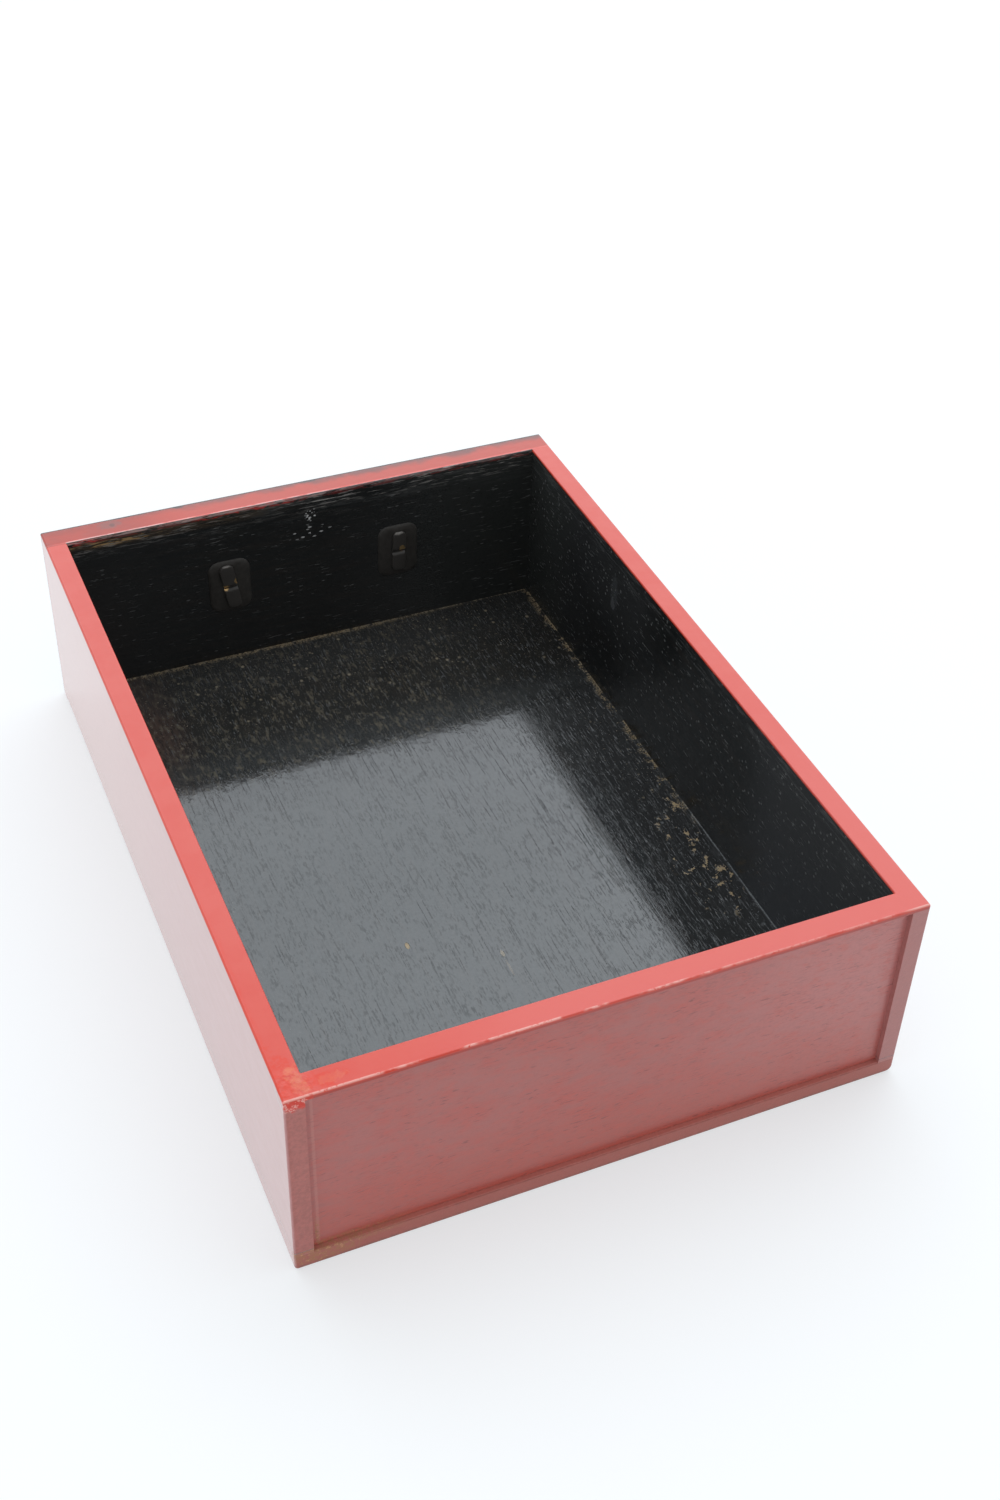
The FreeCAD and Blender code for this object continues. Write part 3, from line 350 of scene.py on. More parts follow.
            # A pale line along the rim's inner edge: painted highlight
            painted_highlight_line = times(self.band(y, INSIDE_FRONT - 0.80, INSIDE_FRONT - 0.36, 0.08),
                              rise(x, -40.0, 25.0, 0.25, 1.0),
                              rise(x, INSIDE_X + 0.5, INSIDE_X - 0.5, 0.15, 1.0),
                              rise(self.streaks(0.6, 6.0, 98.0, 3.0, 0.65), 0.40, 0.52))
            rim = self.over(rim, (0.800, 0.480, 0.450), painted_highlight_line, 0.75)
            faint = times(self.spot((59.4, FRONT_FACE + 3.4, RIM_TOP), (0.9, 1.2, 1.0), 0.8, 2.0), 0.6)
            nicks = either(faint, self.spot((-2.0, FRONT_FACE + 0.9, RIM_TOP), (3.5, 0.7, 1.0), 1.2, 3.0),
                           self.spot((38.5, FRONT_FACE + 0.9, RIM_TOP), (2.2, 1.0, 1.0), 1.2, 4.0))
            return self.over(rim, (0.050, 0.030, 0.028), nicks, 0.8)
        near = times(rise(y, -10.0, 90.0), rise(x, 78.0, 10.0, 0.25, 1.0))
        rim = self.over(rim, (0.580, 0.066, 0.046), near, 0.8)
        arris = self.plus(across, times(self.wander, 3.0))
        arris = rise(arris, HALF_WIDTH - 1.6, HALF_WIDTH - 0.8)
        fresh = times(arris, rise(y, 10.0, 90.0), 0.5)
        fresh = either(fresh, self.spot((78.0, 107.0, RIM_TOP), (3.4, 9.0, 2.0), 1.6, 6.0, 3.0),
                       self.spot((70.5, 110.6, RIM_TOP), (6.5, 2.4, 2.0), 1.8, 16.0, 3.0))
        self.fresh = times(fresh, rise(self.mottle, 0.34, 0.62, 0.25, 1.0), rise(x, 0.0, 40.0))
        rim = self.over(rim, (0.610, 0.026, 0.002), self.fresh, 0.7)
        patches = either(self.spot((75.7, 106.3, RIM_TOP), (1.9, 3.2, 1.5), 2.0, 8.0, 2.4),
                         self.spot((75.2, 110.8, RIM_TOP), (2.2, 3.6, 1.5), 2.0, 18.0, 2.4),
                         times(self.spot((68.0, 110.9, RIM_TOP), (3.5, 1.6, 1.5), 2.0, 38.0), 0.5))
        rim = self.over(rim, (0.590, 0.165, 0.078), patches, rise(self.mottle, 0.25, 0.65), 0.60)
        # A pale broken line along the rim's back edge and at its corners: painted highlight on the rounded
        # edge, with some wear
        worn = times(self.band(y, BACK_END - 0.65, BACK_END - 0.10, 0.1), rise(drift, 0.42, 0.54),
                     rise(self.mottle, 0.34, 0.48), rise(x, -40.0, 0.0, 0.45, 1.0))
        corner = times(rise(across, HALF_WIDTH - 9.0, HALF_WIDTH - 3.0),
                       self.band(y, BACK_END - 0.6, BACK_END - 0.1, 0.1))
        rim = self.over(rim, (0.740, 0.370, 0.320), either(worn, corner), 0.75)
        # A dark red line just under the rim's back edge: painted shade below the highlight
        painted_shade_line = times(rise(y, BACK_END - 0.15, BACK_END - 0.05), rise(z, RIM_TOP - 0.35, RIM_TOP - 0.55))
        return self.over(rim, (0.300, 0.024, 0.014), painted_shade_line, 0.7)

    def black_base(self):
        """The black inside and on the face, in long streaks with paler pores."""
        streak = self.rise(self.long_grain, 0.42, 0.66)
        black = self.mix(streak, (0.0042, 0.0058, 0.0064), (0.0102, 0.0088, 0.0080))
        pores = self.times(self.pores, self.rise(self.cloud, 0.30, 0.55), 0.40)
        return self.mix(pores, black, (0.034, 0.035, 0.034))

    def black_floor(self):
        """The drawer's floor, with dust in its joints and crumbs by the left side board."""
        rise, times, either = self.rise, self.times, self.either
        x, y = self.x, self.y
        reach = self.plus(y, times(self.minus(self.cloud, 0.5), 50.0))
        brown = self.mix(rise(self.patch, 0.35, 0.65), (0.0270, 0.0255, 0.0230), (0.0200, 0.0204, 0.0196))
        black = self.over(self.black_base(), brown, rise(reach, -15.0, -75.0), 0.85)

        # Distances from the walls, and the kinds of dirt
        from_front = self.minus(y, INSIDE_FRONT)
        from_left = self.plus(x, INSIDE_X)
        nearest = self.math("MINIMUM", self.math("MINIMUM", from_front, from_left),
                            self.math("MINIMUM", self.minus(INSIDE_X, x), self.minus(INSIDE_BACK, y)))
        crumbs = self.noise((0.45, 0.45, 0.45), 3.0, 0.7, 51.0)
        lint = self.noise((3.0, 3.0, 3.0), 2.0, 0.6, 52.0)
        blotches = self.noise((1.1, 3.4, 1.1), 4.0, 0.66, 53.0)

        # The ground: darkest by the left side, a painted reflection of that dark wall, ruddy and smeared
        # towards the front
        painted_dark_by_side = times(rise(from_left, 26.0, 14.0), rise(y, -66.0, -38.0, 0.05, 1.0))
        black = self.over(black, (0.0020, 0.0020, 0.0020), painted_dark_by_side, 0.75)
        ruddy = times(rise(x, 46.0, 64.0), rise(y, -48.0, -78.0, 0.35, 1.0), rise(y, -35.0, -50.0))
        black = self.over(black, (0.072, 0.044, 0.036), ruddy, rise(blotches, 0.36, 0.56, 0.4, 1.0))
        veil = either(self.band(y, -60.0, -50.0, 8.0), times(rise(y, -80.0, -94.0), 0.55))
        black = self.over(black, (0.042, 0.045, 0.046), veil, 0.55)
        smears = times(rise(blotches, 0.48, 0.66), rise(lint, 0.38, 0.60, 0.12, 1.0), rise(y, -42.0, -52.0),
                       rise(x, -55.0, -15.0, 0.15, 1.0))
        black = self.over(black, (0.115, 0.100, 0.074), smears, 0.70)

        # Hairs of dust in the grain
        hairs = either(rise(from_left, 34.0, 16.0), times(rise(from_front, 62.0, 30.0), 0.75))
        threads = either(rise(self.streaks(0.60, 6.0, 65.0, 3.0, 0.65), 0.58, 0.68),
                         rise(self.streaks(0.52, 2.4, 66.0, 2.0, 0.6), 0.60, 0.70))
        hairs = times(hairs, threads, rise(lint, 0.28, 0.58, 0.25, 1.0))
        black = self.over(black, (0.140, 0.145, 0.148), hairs, 0.75)

        # A broken line of dust along the walls, and grit that thins out from them
        wide = either(rise(nearest, 0.60, 0.12), times(rise(from_front, 1.5, 0.4), rise(x, -70.0, -20.0)))
        line = times(wide, rise(crumbs, 0.32, 0.54), rise(lint, 0.22, 0.50))
        gaps = either(times(rise(from_left, 2.0, 1.0), rise(y, 20.0, 5.0), rise(lint, 0.57, 0.47)),
                      times(rise(from_front, 2.5, 1.5), rise(blotches, 0.56, 0.44)))
        line = times(line, self.invert(times(gaps, 0.85)))
        fringe = either(times(rise(nearest, 24.0, 0.0), 0.7), times(rise(from_front, 66.0, 4.0), 0.8))
        fringe = times(fringe, rise(lint, 0.30, 0.60, 0.35, 1.0))
        specks = self.noise((0.85, 0.95, 0.85), 2.0, 0.75, 63.0)
        grit = times(either(rise(specks, 0.645, 0.705), self.flecks(3.6, 4.1, 0.38, 64.0, 0.08, 0.20)),
                     fringe)
        self.dusty = either(times(line, 0.9), grit)
        dust = self.mix(rise(y, 14.0, 4.0), (0.150, 0.165, 0.172), (0.290, 0.240, 0.165))
        black = self.over(black, dust, self.dusty, 0.85)

        # Crumbs: heaped in the joints, scattered by the left side board, and three lone bits
        heap = either(times(rise(from_left, 2.8, 0.3), rise(y, 25.0, -5.0), rise(lint, 0.48, 0.58)),
                      times(rise(from_front, 2.4, 0.3), rise(x, -55.0, 0.0), rise(lint, 0.38, 0.52)))
        heap = times(heap, rise(crumbs, 0.46, 0.56))
        bits = either(self.spot((-67.0, 34.0, FLOOR_TOP), (9.0, 27.0, 3.0), 0.9, 9.0, 5.0),
                      self.spot((-71.0, 4.0, FLOOR_TOP), (4.0, 11.0, 3.0), 0.9, 19.0, 3.0))
        bits = times(bits, rise(self.noise((2.8, 3.2, 2.8), 3.0, 0.70, 71.0), 0.59, 0.64))
        lone = either(self.spot((21.5, 33.1, FLOOR_TOP), (0.7, 1.4, 1.0), 0.5, 2.0),
                      times(self.spot((-1.1, 45.0, FLOOR_TOP), (0.6, 1.6, 1.0), 0.5, 3.0), 0.45),
                      times(self.spot((-0.9, 50.6, FLOOR_TOP), (0.4, 3.4, 1.0), 1.4, 4.0), 0.20))
        self.litter = either(bits, heap, lone)
        return self.over(black, (0.370, 0.270, 0.145), self.litter, rise(crumbs, 0.30, 0.60, 0.55, 0.95))

    def black_wall(self):
        """The inner faces of the walls, with pale ticks and dust, rubbed and chipped under the rim; the ticks
        are partly painted glints, and the front's top edge has a painted highlight.
        """
        rise, times, either = self.rise, self.times, self.either
        x, y, z = self.x, self.y, self.z
        black = base = self.black_base()
        haze = times(rise(x, -25.0, -70.0), rise(y, -35.0, -90.0), rise(z, 10.0, 55.0, 0.85, 1.0))
        if self.role == "front":
            haze = either(haze, times(rise(x, 20.0, INSIDE_X), 0.5), times(rise(x, 0.0, -45.0), 0.9))
        if self.role == "side":
            end = rise(self.math("ABSOLUTE", self.minus(y, 12.0)), 22.0, 45.0)
            haze = either(haze, times(rise(z, 14.0, 50.0), end, rise(x, 0.0, -10.0)))
            near = times(rise(y, 36.0, 58.0), rise(x, 0.0, -10.0))
            black = self.mix(near, black, (0.0150, 0.0170, 0.0210))
        corner = times(rise(y, -66.0, -92.0), rise(x, 0.0, -60.0))
        dim = self.mix(corner, (0.0215, 0.0225, 0.0235), (0.0290, 0.0315, 0.0305))
        black = self.over(black, dim, haze, rise(self.mottle, 0.20, 0.60, 0.7, 1.0))

        # Pale ticks in the grain, painted glints off the pores, with pale specks among them, and rubbing
        # under the rim
        shown = either(rise(self.cloud, 0.34, 0.62, 0.15, 1.0), rise(x, -20.0, -60.0))
        ticks = either(times(rise(self.streaks(0.44, 4.0, 81.0), 0.63, 0.71), rise(self.patch, 0.42, 0.60)),
                       self.flecks(1.1, 3.6, 0.16, 82.0, 0.08, 0.24))
        if self.role == "side":
            ticks = either(ticks, times(self.flecks(1.7, 1.8, 0.50, 84.0, 0.12, 0.30),
                                        rise(z, 0.0, 50.0, 0.4, 1.0)))
        rubbed = times(rise(z, RIM_TOP - 12.0, RIM_TOP - 0.5),
                       rise(self.streaks(1.0, 12.0, 83.0, 3.0, 0.6), 0.48, 0.64), self.fine)
        black = self.over(black, (0.135, 0.140, 0.140), either(times(ticks, shown), times(rubbed, 0.7)), 0.75)
        if self.role == "side":
            smudge = self.spot((-INSIDE_X, -44.0, 45.0), (1.5, 3.0, 7.5), 0.9, 5.0)
            core = self.spot((-INSIDE_X, -44.5, 41.0), (1.5, 1.6, 2.6), 0.9, 6.0)
            smudge = either(times(smudge, 0.22), times(core, 0.50))
            return self.mix(smudge, black, (0.085, 0.092, 0.098))
        if self.role == "back":
            return black

        # The front board's inner face: fibres, bare wood, white specks, chips along its top edge, and a
        # painted highlight on that edge
        fibres = times(rise(self.streaks(0.55, 7.0, 85.0, 3.0, 0.62), 0.54, 0.64),
                       rise(z, RIM_TOP - 7.5, RIM_TOP - 2.0), rise(self.patch, 0.30, 0.56, 0.25, 1.0))
        black = self.over(black, (0.400, 0.385, 0.365), fibres, 0.80)
        bare = times(rise(z, RIM_TOP - 4.8, RIM_TOP - 3.0), rise(x, 0.0, 26.0),
                     rise(self.streaks(0.7, 7.0, 87.0, 3.0, 0.6), 0.38, 0.52))
        black = self.over(black, (0.062, 0.043, 0.026), bare, 0.65)
        cluster = times(self.flecks(0.80, 1.0, 0.92, 92.0, 0.22, 0.46),
                        self.spot((-0.6, INSIDE_FRONT, 52.2), (2.6, 3.0, 2.6)))
        around = times(self.flecks(1.0, 2.2, 0.55, 91.0, 0.14, 0.36),
                       self.spot((0.6, INSIDE_FRONT, 46.4), (9.0, 3.0, 3.0)), 0.85)
        self.pale = either(cluster, around)
        black = self.mix(self.pale, black, (0.600, 0.610, 0.610))
        tan = times(self.band(z, RIM_TOP - 3.4, RIM_TOP - 1.4, 0.4), rise(x, 30.0, 62.0),
                    rise(self.streaks(0.6, 5.0, 97.0, 3.0, 0.65), 0.52, 0.62))
        black = self.over(black, (0.460, 0.290, 0.125), tan, 0.85)
        chipped = either(rise(x, 62.0, 66.0), times(rise(x, 0.0, 10.0), rise(x, 42.0, 30.0)))
        chips = times(self.band(z, RIM_TOP - 1.5, RIM_TOP - 0.1, 0.15), either(chipped, 0.25),
                      rise(self.streaks(0.6, 4.0, 95.0, 3.0, 0.65), 0.46, 0.54))
        black = self.over(black, (0.580, 0.050, 0.045), chips, 0.85)
        # A pale pink line along the top edge under the rim: painted highlight
        edge = times(self.band(z, RIM_TOP - 0.80, RIM_TOP - 0.25, 0.10), rise(x, -20.0, 20.0, 0.3, 1.0),
                     rise(self.streaks(0.6, 6.0, 98.0, 3.0, 0.65), 0.42, 0.52))
        black = self.over(black, (0.660, 0.450, 0.430), edge, 0.80)

        # Its outer face, worn through to red near the edges
        near_edge = either(rise(self.across, HALF_WIDTH - 2.5, HALF_WIDTH), rise(z, RIM_TOP - 2.5, RIM_TOP),
                           rise(z, 2.5, 0.0))
        worn = times(rise(self.noise((2.2, 2.2, 2.2), 4.0, 0.65, 99.0), 0.52, 0.64), near_edge)
        outer = self.over(base, (0.130, 0.038, 0.026), either(worn, times(self.cracks, 0.25)), 0.8)
        lines = rise(self.streaks(0.5, 5.0, 81.0), 0.64, 0.74)
        outer = self.over(outer, (0.060, 0.058, 0.055), lines, 0.25)
        return self.mix(self.on_face, black, outer)

    def all_colours(self):
        """Red, black and the bare underneath, each where it lies."""
        rise, times = self.rise, self.times
        red = self.dull_red()
        if self.role != "bottom":
            red = self.mix(self.on_rim, red, self.rim_red())
        if self.role in ("side", "back"):
            drip = self.spot((77.6, BACK_END, RIM_TOP - 1.0), (4.6, 3.0, 3.0), 0.8, 28.0, 1.2)
            self.drip = times(drip, rise(self.y, BACK_END - 1.0, BACK_END - 0.4),
                              rise(self.z, RIM_TOP - 0.20, RIM_TOP - 0.45))
            # The drip's pale flecks are painted highlights on its glossy red
            drip_red_and_highlights = self.mix(rise(self.mottle, 0.52, 0.62), (0.600, 0.028, 0.010), (0.740, 0.300, 0.260))
            red = self.mix(self.drip, red, drip_red_and_highlights)
        black = self.black_floor() if self.role == "bottom" else self.black_wall()
        colour = self.mix(self.is_black, red, black)
        if self.role in ("front", "bottom"):
            under = self.mix(rise(self.long_grain, 0.35, 0.65), (0.150, 0.050, 0.042), (0.085, 0.036, 0.030))
            scuffs = times(rise(self.noise((1.2, 26.0, 1.2), 4.0, 0.6, 14.0), 0.55, 0.70),
                           rise(self.across, 55.0, 78.0, 0.25, 1.0))
            under = self.over(under, (0.300, 0.195, 0.110), scuffs, 0.7)
            colour = self.mix(self.underneath, colour, under)
        return colour

    def roughness(self):
        """The black is polished, the red is satin, dust and bare wood are matt."""
        rise, times, either = self.rise, self.times, self.either
        satin = self.blend(self.on_side, self.blend(self.on_rim, 0.36, 0.30), 0.16)
        polish = rise(self.y, -15.0, -60.0, 0.052, 0.085) if self.role == "bottom" else 0.20
        polish = self.plus(polish, times(rise(self.long_grain, 0.42, 0.66), 0.03))
        rough = self.blend(self.is_black, satin, polish)
        matt = either(times(self.dusty, 0.8, self.inside), times(self.litter, self.inside), self.stain,
                      times(self.pale, 0.6), times(self.underneath, 0.8))
        return self.blend(times(matt, 0.85), rough, 0.75)

    def reflectance(self):
        """The index of refraction: high in the black's thick lacquer, lower in its open grain and the red."""
        rise, times, either = self.rise, self.times, self.either
        x, y = self.x, self.y
        thick = self.plus(rise(y, 0.0, 60.0, 1.745, 1.805), rise(y, -18.0, -45.0, 0.0, -0.060))
        thick = self.plus(thick, rise(x, -41.0, -47.0, 0.0, -0.100))
        thick = self.minus(thick, times(self.minus(self.mottle, 0.5), 0.16))
        satin = 1.58
        if self.role == "front":
            thick = self.blend(self.on_face, thick, 1.50)
            satin = rise(x, 30.0, 55.0, 1.53, 1.45)
        if self.role == "side":
            thick = rise(y, 18.0, 60.0, 1.300, 1.450)
        if self.role in ("side", "back"):
            corner = times(rise(y, 40.0, 100.0), rise(x, 10.0, 60.0), self.on_rim)
            satin = self.blend(corner, satin, 1.50)
            satin = self.blend(times(either(self.fresh, self.drip), 0.7), satin, 1.40)
        open_grain = either(times(self.pores, 0.58), times(self.cracks, 0.60))
        return self.blend(self.is_black, satin, self.blend(open_grain, thick, 1.45))

    def relief(self):
        """Height in millimetres: grain, open marks, a slow swell, lumps in fresh paint, and dirt."""
        times, either = self.times, self.either
        outer_grain = self.blend(self.on_side, 0.016, 0.004)
        height = times(self.minus(self.long_grain, 0.5), self.blend(self.is_black, outer_grain, 0.024))
        red_marks = times(either(self.bold, times(self.pores, 0.4)), times(outer_grain, -1.6),
                          self.invert(self.on_rim))
        black_marks = either(times(self.pores, 0.35), times(self.cracks, 0.8))
        height = self.plus(height, self.blend(self.is_black, red_marks, times(black_marks, -0.032)))
        swell = self.minus(self.noise((2.6, 2.6, 2.6), 2.0, 0.5, 15.0), 0.5)
        swell_height = self.blend(self.on_side, 0.018 if self.role == "bottom" else 0.045, 0.012)
        height = self.plus(height, times(swell, swell_height))
        if self.role in ("side", "back"):
            lumps = times(self.spot((77.0, 111.5, RIM_TOP), (6.0, 7.0, 5.0)),
                          self.noise((1.4, 1.4, 1.4), 2.0, 0.5, 16.0))
            height = self.plus(height, times(lumps, 0.30))
        if self.role == "bottom":
            grains = either(times(self.dusty, 0.05), times(self.litter, 0.12))
            height = self.plus(height, times(grains, self.inside))
        return height

    def finished(self):
        """The board's whole material. Its colours come first, because they settle where the marks lie."""
        colour = self.all_colours()
        own = {"IOR": self.reflectance()}
        if self.role != "back":
            own["Sheen Weight"] = self.times(self.on_side, 0.45)
            own["Sheen Roughness"] = 0.35
        return self.finish(colour, self.roughness(), self.relief(), **own)


def brass_material(name, painted=False):
    """Aged brass; where it was painted black, metal shows on the folds and edges that get rubbed, and the
    legs' tops have painted highlights.
    """
    metal = Shader(name)
    tarnish = metal.noise((3.0, 3.0, 3.0), 4.0, 0.62, 1.0)
    colour = metal.mix(metal.rise(tarnish, 0.38, 0.66), (0.520, 0.330, 0.115), (0.250, 0.150, 0.060))
    colour = metal.over(colour, (0.075, 0.050, 0.030), metal.specks((0.9, 0.9, 0.9), 0.3, 5.0), 0.5)
    rough = metal.plus(0.24, metal.times(tarnish, 0.22))
    height = metal.plus(metal.times(metal.noise((0.25, 2.5, 0.25), 3.0, 0.6, 3.0), 0.006),
                        metal.times(tarnish, 0.02))
    if not painted:
        return metal.finish(colour, rough, height, Metallic=1.0)
    inner = metal.rise(metal.y, INSIDE_FRONT + 0.2, INSIDE_FRONT + 0.6)
    rubs = metal.either(metal.spot((28.4, INSIDE_FRONT + 2.0, 33.0), (1.6, 3.4, 1.3), 0.4, 2.0),
                        metal.spot((24.6, INSIDE_FRONT + 2.0, 35.2), (1.1, 3.4, 1.3), 0.4, 3.0),
                        metal.spot((-29.4, INSIDE_FRONT + 2.0, 33.8), (1.1, 3.4, 1.6), 0.4, 4.0))
    colour = metal.over(colour, (0.900, 0.620, 0.300), rubs, 0.8)
    paint = metal.times(inner, metal.invert(rubs))
    # Pale marks on the legs' tops: painted highlights
    painted_leg_highlights = metal.either(metal.spot((28.0, INSIDE_FRONT + 1.2, 41.6), (2.2, 3.0, 1.4), 0.5, 5.0, 0.8),
                        metal.spot((-28.2, INSIDE_FRONT + 1.2, 40.4), (2.2, 3.0, 1.4), 0.5, 6.0, 0.8))
    black = metal.over((0.0440, 0.0405, 0.0375), (0.2600, 0.2450, 0.2300), painted_leg_highlights, 0.8)
    colour = metal.mix(paint, colour, black)
    rough = metal.blend(paint, rough, 0.32)
    height = metal.plus(height, metal.times(metal.noise((0.7, 0.7, 0.7), 2.0, 0.5, 8.0), 0.05))
    return metal.finish(colour, rough, height, Metallic=metal.invert(paint))


def paint_material(name):
    """Thick black paint with a dull surface, brushed over the backing plates."""
    coat = Shader(name)
    body = coat.noise((1.4, 1.4, 1.4), 3.0, 0.55, 2.0)
    colour = coat.mix(coat.rise(body, 0.35, 0.65), (0.0255, 0.0232, 0.0206), (0.0365, 0.0335, 0.0300))
    return coat.finish(colour, coat.plus(0.50, coat.times(body, 0.14)), coat.times(body, 0.10))


def bamboo_material(name):
    """Split bamboo, its fibres along the peg."""
    wood = Shader(name)
    fibre = wood.noise((0.18, 0.18, 4.0), 4.0, 0.6, 2.0)
    colour = wood.mix(wood.rise(fibre, 0.35, 0.65), (0.480, 0.330, 0.150), (0.330, 0.210, 0.090))
    return wood.finish(colour, 0.6, wood.times(fibre, 0.02))


def dress(names, material):
    """Gives nodes a better material and leaves their shape alone."""
    for name in names:
        for slot in nodes[name].material_slots:
            slot.material = material


def new_piece(name, mesh, material, replaced, body):
    """A finer piece that stands for a node and moves with its body."""
    mesh.materials.append(material)
    piece = bpy.data.objects.new(name, mesh)
    bpy.context.scene.collection.objects.link(piece)
    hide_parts(replaced)
    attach(piece, body)


def skin_mesh(name, loops):
    """A closed skin through loops of points, capped at both ends."""
    build = bmesh.new()
    rows = [[build.verts.new(point) for point in loop] for loop in loops]
    for low, high in zip(rows, rows[1:]):
        for index in range(len(low)):
            following = (index + 1) % len(low)
            build.faces.new((low[index], low[following], high[following], high[index]))
    build.faces.new(list(reversed(rows[0])))
    build.faces.new(rows[-1])
    bmesh.ops.recalc_face_normals(build, faces=build.faces)
    mesh = bpy.data.meshes.new(name)
    build.to_mesh(mesh)
    build.free()
    for polygon in mesh.polygons:
        polygon.use_smooth = True
    return mesh


def circle_points(radius, sides):
    turns = [2 * math.pi * index / sides for index in range(sides)]
    return [(radius * math.cos(turn), radius * math.sin(turn)) for turn in turns]


def rounded_points(half_width, half_height, corner, steps=5):
    """A rectangle with round corners, anticlockwise."""
    points = []
    for quarter, (way_x, way_y) in enumerate(((1, 1), (-1, 1), (-1, -1), (1, -1))):
        for step in range(steps):
            turn = (quarter + step / (steps - 1)) * math.pi / 2
            points.append((way_x * (half_width - corner) + corner * math.cos(turn),
                           way_y * (half_height - corner) + corner * math.sin(turn)))
    return points


def sweep_loop(centre, first, second, points):
    return [centre + across * first + up * second for across, up in points]


def handle_mesh():
    """The drop handle, smooth where the solid runs in flats. Sizes are the solid's own."""
    low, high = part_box("drop_handle")
    hinge = Vector(((low.x + high.x) / 2, HINGE.y, HINGE.z))
    tip, arm, grip = 1.3 * MM, 1.5 * MM, 2.19 * MM
    drop, shoulder, corner, bow = 19.0 * MM, 2.4 * MM, 7.0 * MM, 60.0 * MM
    knob, knob_length, in_eye = 1.65 * MM, 1.4 * MM, 5.4 * MM
    knob_shares = ((1.0, 0.45), (0.93, 0.72), (0.78, 0.92), (0.55, 1.0), (0.30, 0.98), (0.14, 0.90))
    end_x = (high.x - low.x) / 2 - knob_length
    bend_x = end_x - in_eye
    corner_x = bend_x - shoulder - corner
    bow_height = bow - drop
    corner_height = bow_height - math.sqrt((bow - corner) ** 2 - corner_x ** 2)
    turn = math.pi / 2 - math.asin(corner_x / (bow - corner))

    # The rod's line from one end to its middle, as (x, height, heading, radius), then the same mirrored
    path = [(end_x + along * knob_length, 0.0, math.pi, knob * wide) for along, wide in knob_shares]
    path += [(x, 0.0, math.pi, tip) for x in (end_x, (end_x + bend_x) / 2)]

    def arc(centre_x, centre_height, radius, first, last, size_from, size_to, steps):
        quarter = math.copysign(math.pi / 2, last - first)
        for index in range(steps + 1):
            share = index / steps
            angle = first + share * (last - first)
            eased = share * share * (3 - 2 * share)
            path.append((centre_x + radius * math.cos(angle), centre_height + radius * math.sin(angle),
                         angle + quarter, size_from + eased * (size_to - size_from)))

    arc(bend_x, -shoulder, shoulder, math.pi / 2, math.pi, tip, arm, steps=12)
    arc(corner_x, corner_height, corner, 0.0, -turn, arm, (arm + grip) / 2, steps=16)
    del path[-1]
    arc(0.0, bow_height, bow, -turn, -math.pi / 2, (arm + grip) / 2, grip, steps=14)
    path += [(-x, height, -heading, size) for x, height, heading, size in reversed(path[:-1])]
    side = Vector((0, 1, 0))
    loops = []
    for x, height, heading, size in path:
        way = Vector((math.cos(heading), 0, math.sin(heading)))
        round_section = circle_points(size, sides=40)
        loops.append(sweep_loop(hinge + Vector((x, 0, height)), side, way.cross(side), round_section))
    return skin_mesh("handle_rod", loops)


def plate_mesh(name, node, outward, outline_mm, levels_mm, wobble_mm=0.0):
    """A plate raised from a board in levels, each an inset of the outline and a height.

    outward is the way it faces along Y. Inside its edge it may be uneven by wobble_mm.
    """
    edge_mm, dent_mm = 0.6, 2.2
    low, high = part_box(node)
    foot = high.y if outward < 0 else low.y
    centre = Vector(((low.x + high.x) / 2, foot, (low.z + high.z) / 2))
    loops = []
    for inset, height in levels_mm:
        loop = []
        for across, up in outline_mm:
            share = 1 - inset / math.hypot(across, up)
            point = centre + Vector((across * share, outward * height, up * share)) * MM
            if inset > edge_mm:
                point.y += noise.noise(point / (dent_mm * MM)) * wobble_mm * MM
            loop.append(point)
        loops.append(loop)
    return skin_mesh(name, loops)


